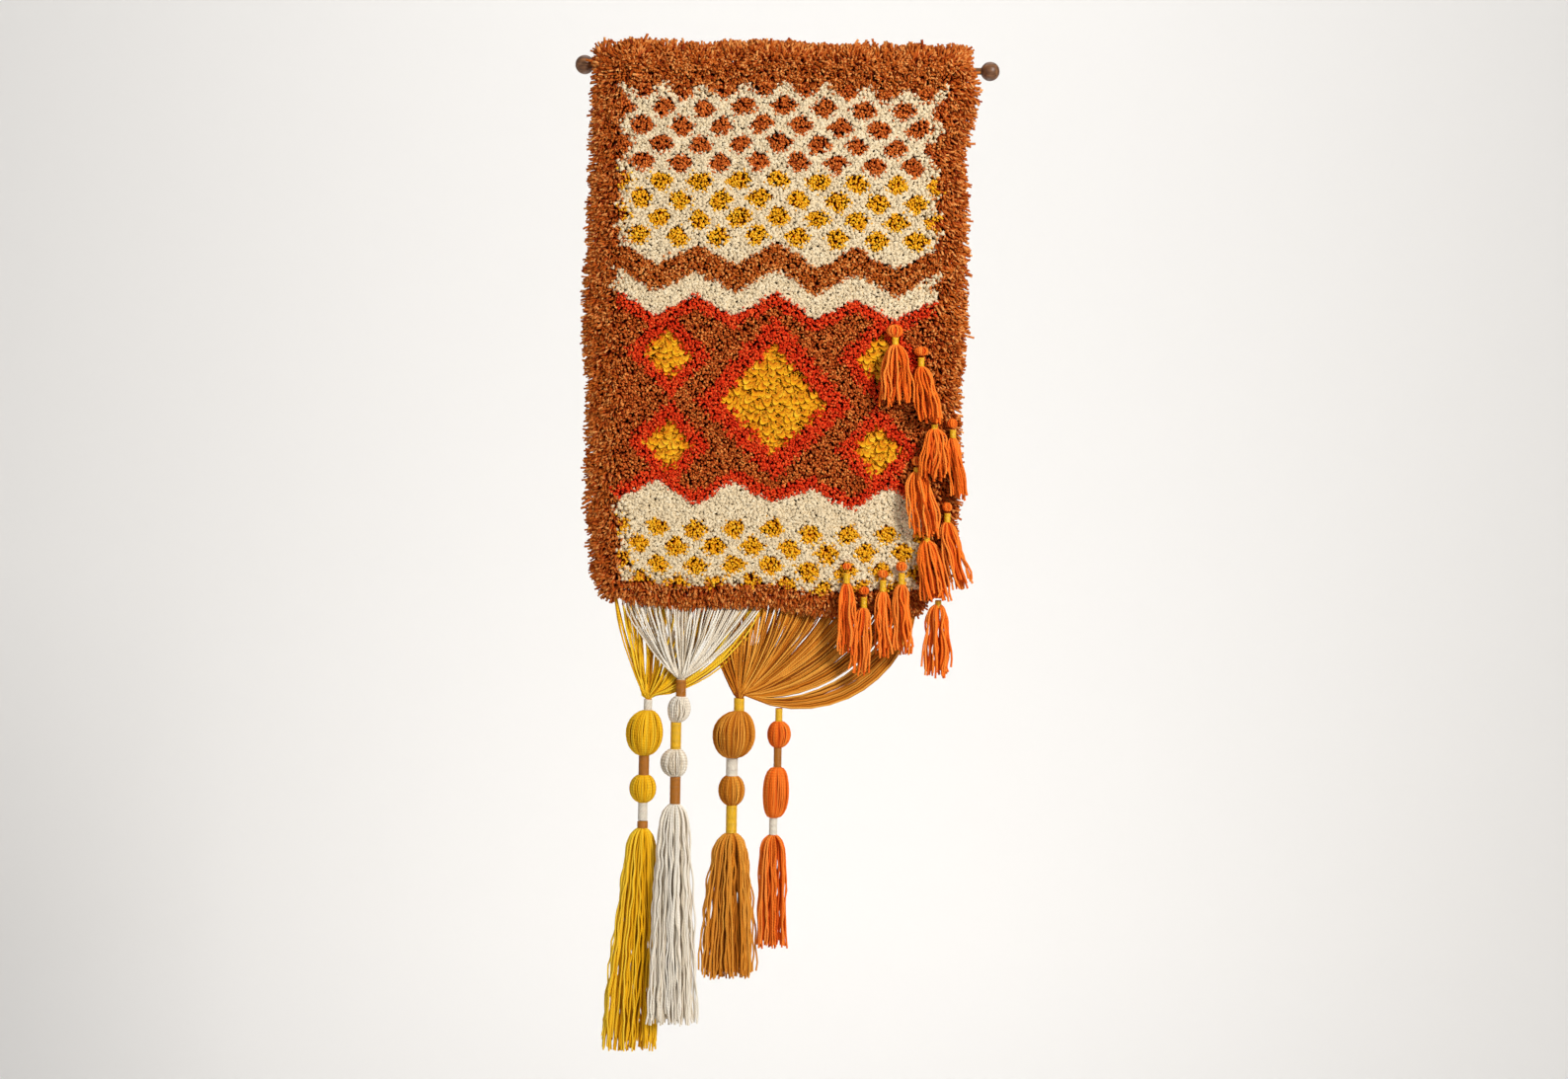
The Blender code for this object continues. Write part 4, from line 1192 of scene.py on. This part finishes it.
def make_small_tassel(letter, facts, seed):
    """A small tassel: a round head, a wrapped neck and a skirt that leans out over the pile."""
    chance = np.random.default_rng(seed)
    head_x, head_z, head_wide, head_tall, foot_x, foot_z, wide, rise = facts
    node = "small_tassel_" + letter
    low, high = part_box(node + "_binding")
    middle = (low + high) / 2
    bound = Bead("yellow", middle.x, middle.y, middle.z, high.z - low.z, SMALL_BOUND)
    head = Bead("orange", head_x, middle.y, head_z, head_tall - 0.005, head_wide)
    crown = Bead("orange", head_x, middle.y, head_z + head_tall / 2, 0.002, CROWN_WIDE)
    loops = round(15 * head_wide / 0.020)
    paths = ball_paths(chance, head, crown, bound, loops, 8, 0.03, 0.0014, HEAD_FLAT)
    bundles = [(paths, 0.0015, chance.uniform(0.2, 0.9, loops))]
    count = round(16 + 400 * wide)
    half = 0.5 * wide - YARN
    start = (middle.x, middle.y, low.z + rise)
    skirt = (foot_x - half, foot_x + half, middle.y - SMALL_LEAN, foot_z, SMALL_RAGGED)
    paths, shades = skirt_paths(
        chance, start, neck(bound), 0.86 * half, skirt, count, 14, SMALL_SKIRT_FLAT, SMALL_UNRULY
    )
    bundles.append((paths, SMALL_YARN, shades))
    make_yarn_piece(node, "yarn", "orange", bundles, [head], [bound], HEAD_FLAT)
    make_wrap(node + "_wrap", bound, node + "_binding")


# Wood


def turned_piece(name, profile, sides, *nodes):
    """A piece turned round the rod's axis from a profile of places along it and radii."""
    bm = bmesh.new()
    verts = [bm.verts.new((x, 0, radius)) for x, radius in profile]
    edges = [bm.edges.new(pair) for pair in zip(verts, verts[1:])]
    bmesh.ops.spin(
        bm, geom=verts + edges, cent=(0, 0, 0), axis=(1, 0, 0), angle=2 * math.pi, steps=sides, use_merge=True
    )
    bmesh.ops.remove_doubles(bm, verts=bm.verts, dist=1e-6)
    bmesh.ops.holes_fill(bm, edges=bm.edges, sides=sides)
    add_piece(name, stored_mesh(bm, name), WOOD, "wood", *nodes)


def make_rod():
    """The rod and its two turned knobs."""
    reach = KNOB_CENTRE - KNOB_RADIUS + 0.004
    stops = np.linspace(-reach, reach, 13)
    turned_piece("turned_rod", [(x, ROD_RADIUS) for x in stops], 32, "rod")
    for name, side in (("left", -1), ("right", 1)):
        ball = []
        for angle in np.linspace(math.radians(24), math.pi, 19):
            ball.append((side * (KNOB_CENTRE - KNOB_RADIUS * math.cos(angle)), KNOB_RADIUS * math.sin(angle)))
        socket = [(side * (KNOB_CENTRE - KNOB_RADIUS * 0.80), ROD_RADIUS + 0.0002)]
        turned_piece(f"turned_knob_{name}", socket + ball, 40, "knob_" + name)


# Stage


# The stage: its reach to each side and to the front, its back wall, floor and top, and the curve between them
STAGE_REACH = 9.0
STAGE_BACK = 4.6
STAGE_FLOOR = -2.75
STAGE_TOP = 6.5
STAGE_CURVE = 0.8
STAGE_COLOUR = (0.88, 0.870, 0.855)


def make_stage():
    """A pale floor that runs up into a pale backdrop, both far from the hanging."""
    bm = bmesh.new()
    outline = [(-STAGE_REACH, STAGE_FLOOR)]
    for angle in np.linspace(0, math.pi / 2, 13):
        y = STAGE_BACK - STAGE_CURVE + STAGE_CURVE * math.sin(angle)
        z = STAGE_FLOOR + STAGE_CURVE - STAGE_CURVE * math.cos(angle)
        outline.append((y, z))
    outline.append((STAGE_BACK, STAGE_TOP))
    verts = [bm.verts.new((-STAGE_REACH, y, z)) for y, z in outline]
    edges = [bm.edges.new(pair) for pair in zip(verts, verts[1:])]
    made = bmesh.ops.extrude_edge_only(bm, edges=edges)["geom"]
    moved = [part for part in made if isinstance(part, bmesh.types.BMVert)]
    bmesh.ops.translate(bm, vec=(2 * STAGE_REACH, 0, 0), verts=moved)
    mesh = stored_mesh(bm, "studio")
    mesh.shade_smooth()
    material, tree, shader = new_material("pale studio")
    set_surface(tree, shader, (*STAGE_COLOUR, 1), 0.95, 0.1)
    mesh.materials.append(material)
    studio = add_object("studio", mesh)


AIR_COLOUR = (1.0, 0.985, 0.965)
AIR_STRENGTH = 0.32

# Square lights: place, the point they face, size, power, colour
LIGHTS = {
    "key": ((2.2, -3.2, 1.1), (0, 0, -0.75), 0.9, 170, (1.0, 0.98, 0.95)),
    "fill": ((-3.0, -2.6, 0.0), (0, 0, -0.8), 2.4, 15, (0.97, 0.98, 1.0)),
    "backdrop": ((0, 1.4, 3.4), (0, 4.6, -0.8), 3.0, 84, (1.0, 0.99, 0.98)),
    "backdrop foot": ((0, 1.2, -2.45), (0, 4.6, 0.2), 1.2, 52, (1.0, 0.99, 0.98)),
}


def light_studio():
    """A key light from the upper right, a weaker one from the left, two for the backdrop, and pale air."""
    world = bpy.data.worlds.new("studio air")
    world.use_nodes = True
    tree = world.node_tree
    feed(tree, tree.nodes["Background"], {"Color": (*AIR_COLOUR, 1), "Strength": AIR_STRENGTH})
    bpy.context.scene.world = world
    bpy.context.scene.view_settings.view_transform = "Standard"
    for name, (place, aim, size, power, colour) in LIGHTS.items():
        light = bpy.data.lights.new(name, "AREA")
        light.size = size
        light.energy = power
        light.color = colour
        lamp = add_object(name, light)
        lamp.location = place
        lamp.rotation_euler = (Vector(aim) - Vector(place)).to_track_quat("-Z", "Y").to_euler()


PHOTO_WIDE = 1588
PIXEL = 0.00145
SENSOR = 36
CAMERA_DISTANCE = 3.5
CAMERA_ROLL = math.radians(0.976)
CAMERA_AIM = (0.0067, -0.005, -0.6934)


def place_camera():
    """Straight in front, at the middle of the photo, turned a little because the rod hangs aslant there."""
    data = bpy.data.cameras.new("camera")
    data.sensor_width = SENSOR
    data.lens = SENSOR * CAMERA_DISTANCE / (PHOTO_WIDE * PIXEL)
    camera = add_object("camera", data)
    facing = Matrix.Rotation(math.radians(90), 4, "X")
    roll = Matrix.Rotation(-CAMERA_ROLL, 4, "Y")
    x, y, z = CAMERA_AIM
    camera.matrix_world = Matrix.Translation((x, y - CAMERA_DISTANCE, z)) @ roll @ facing
    bpy.context.scene.camera = camera


def main():
    """The camera, the stage and its lights, and then the hanging's pieces."""
    place_camera()
    make_stage()
    light_studio()
    make_rod()
    plant_pile()
    make_canvas()
    for seed, (colour, facts) in enumerate(LONG_TASSELS.items(), 31):
        make_long_tassel(colour, facts, seed)
    for seed, (letter, facts) in enumerate(SMALL_TASSELS.items(), 51):
        make_small_tassel(letter, facts, seed)


main()
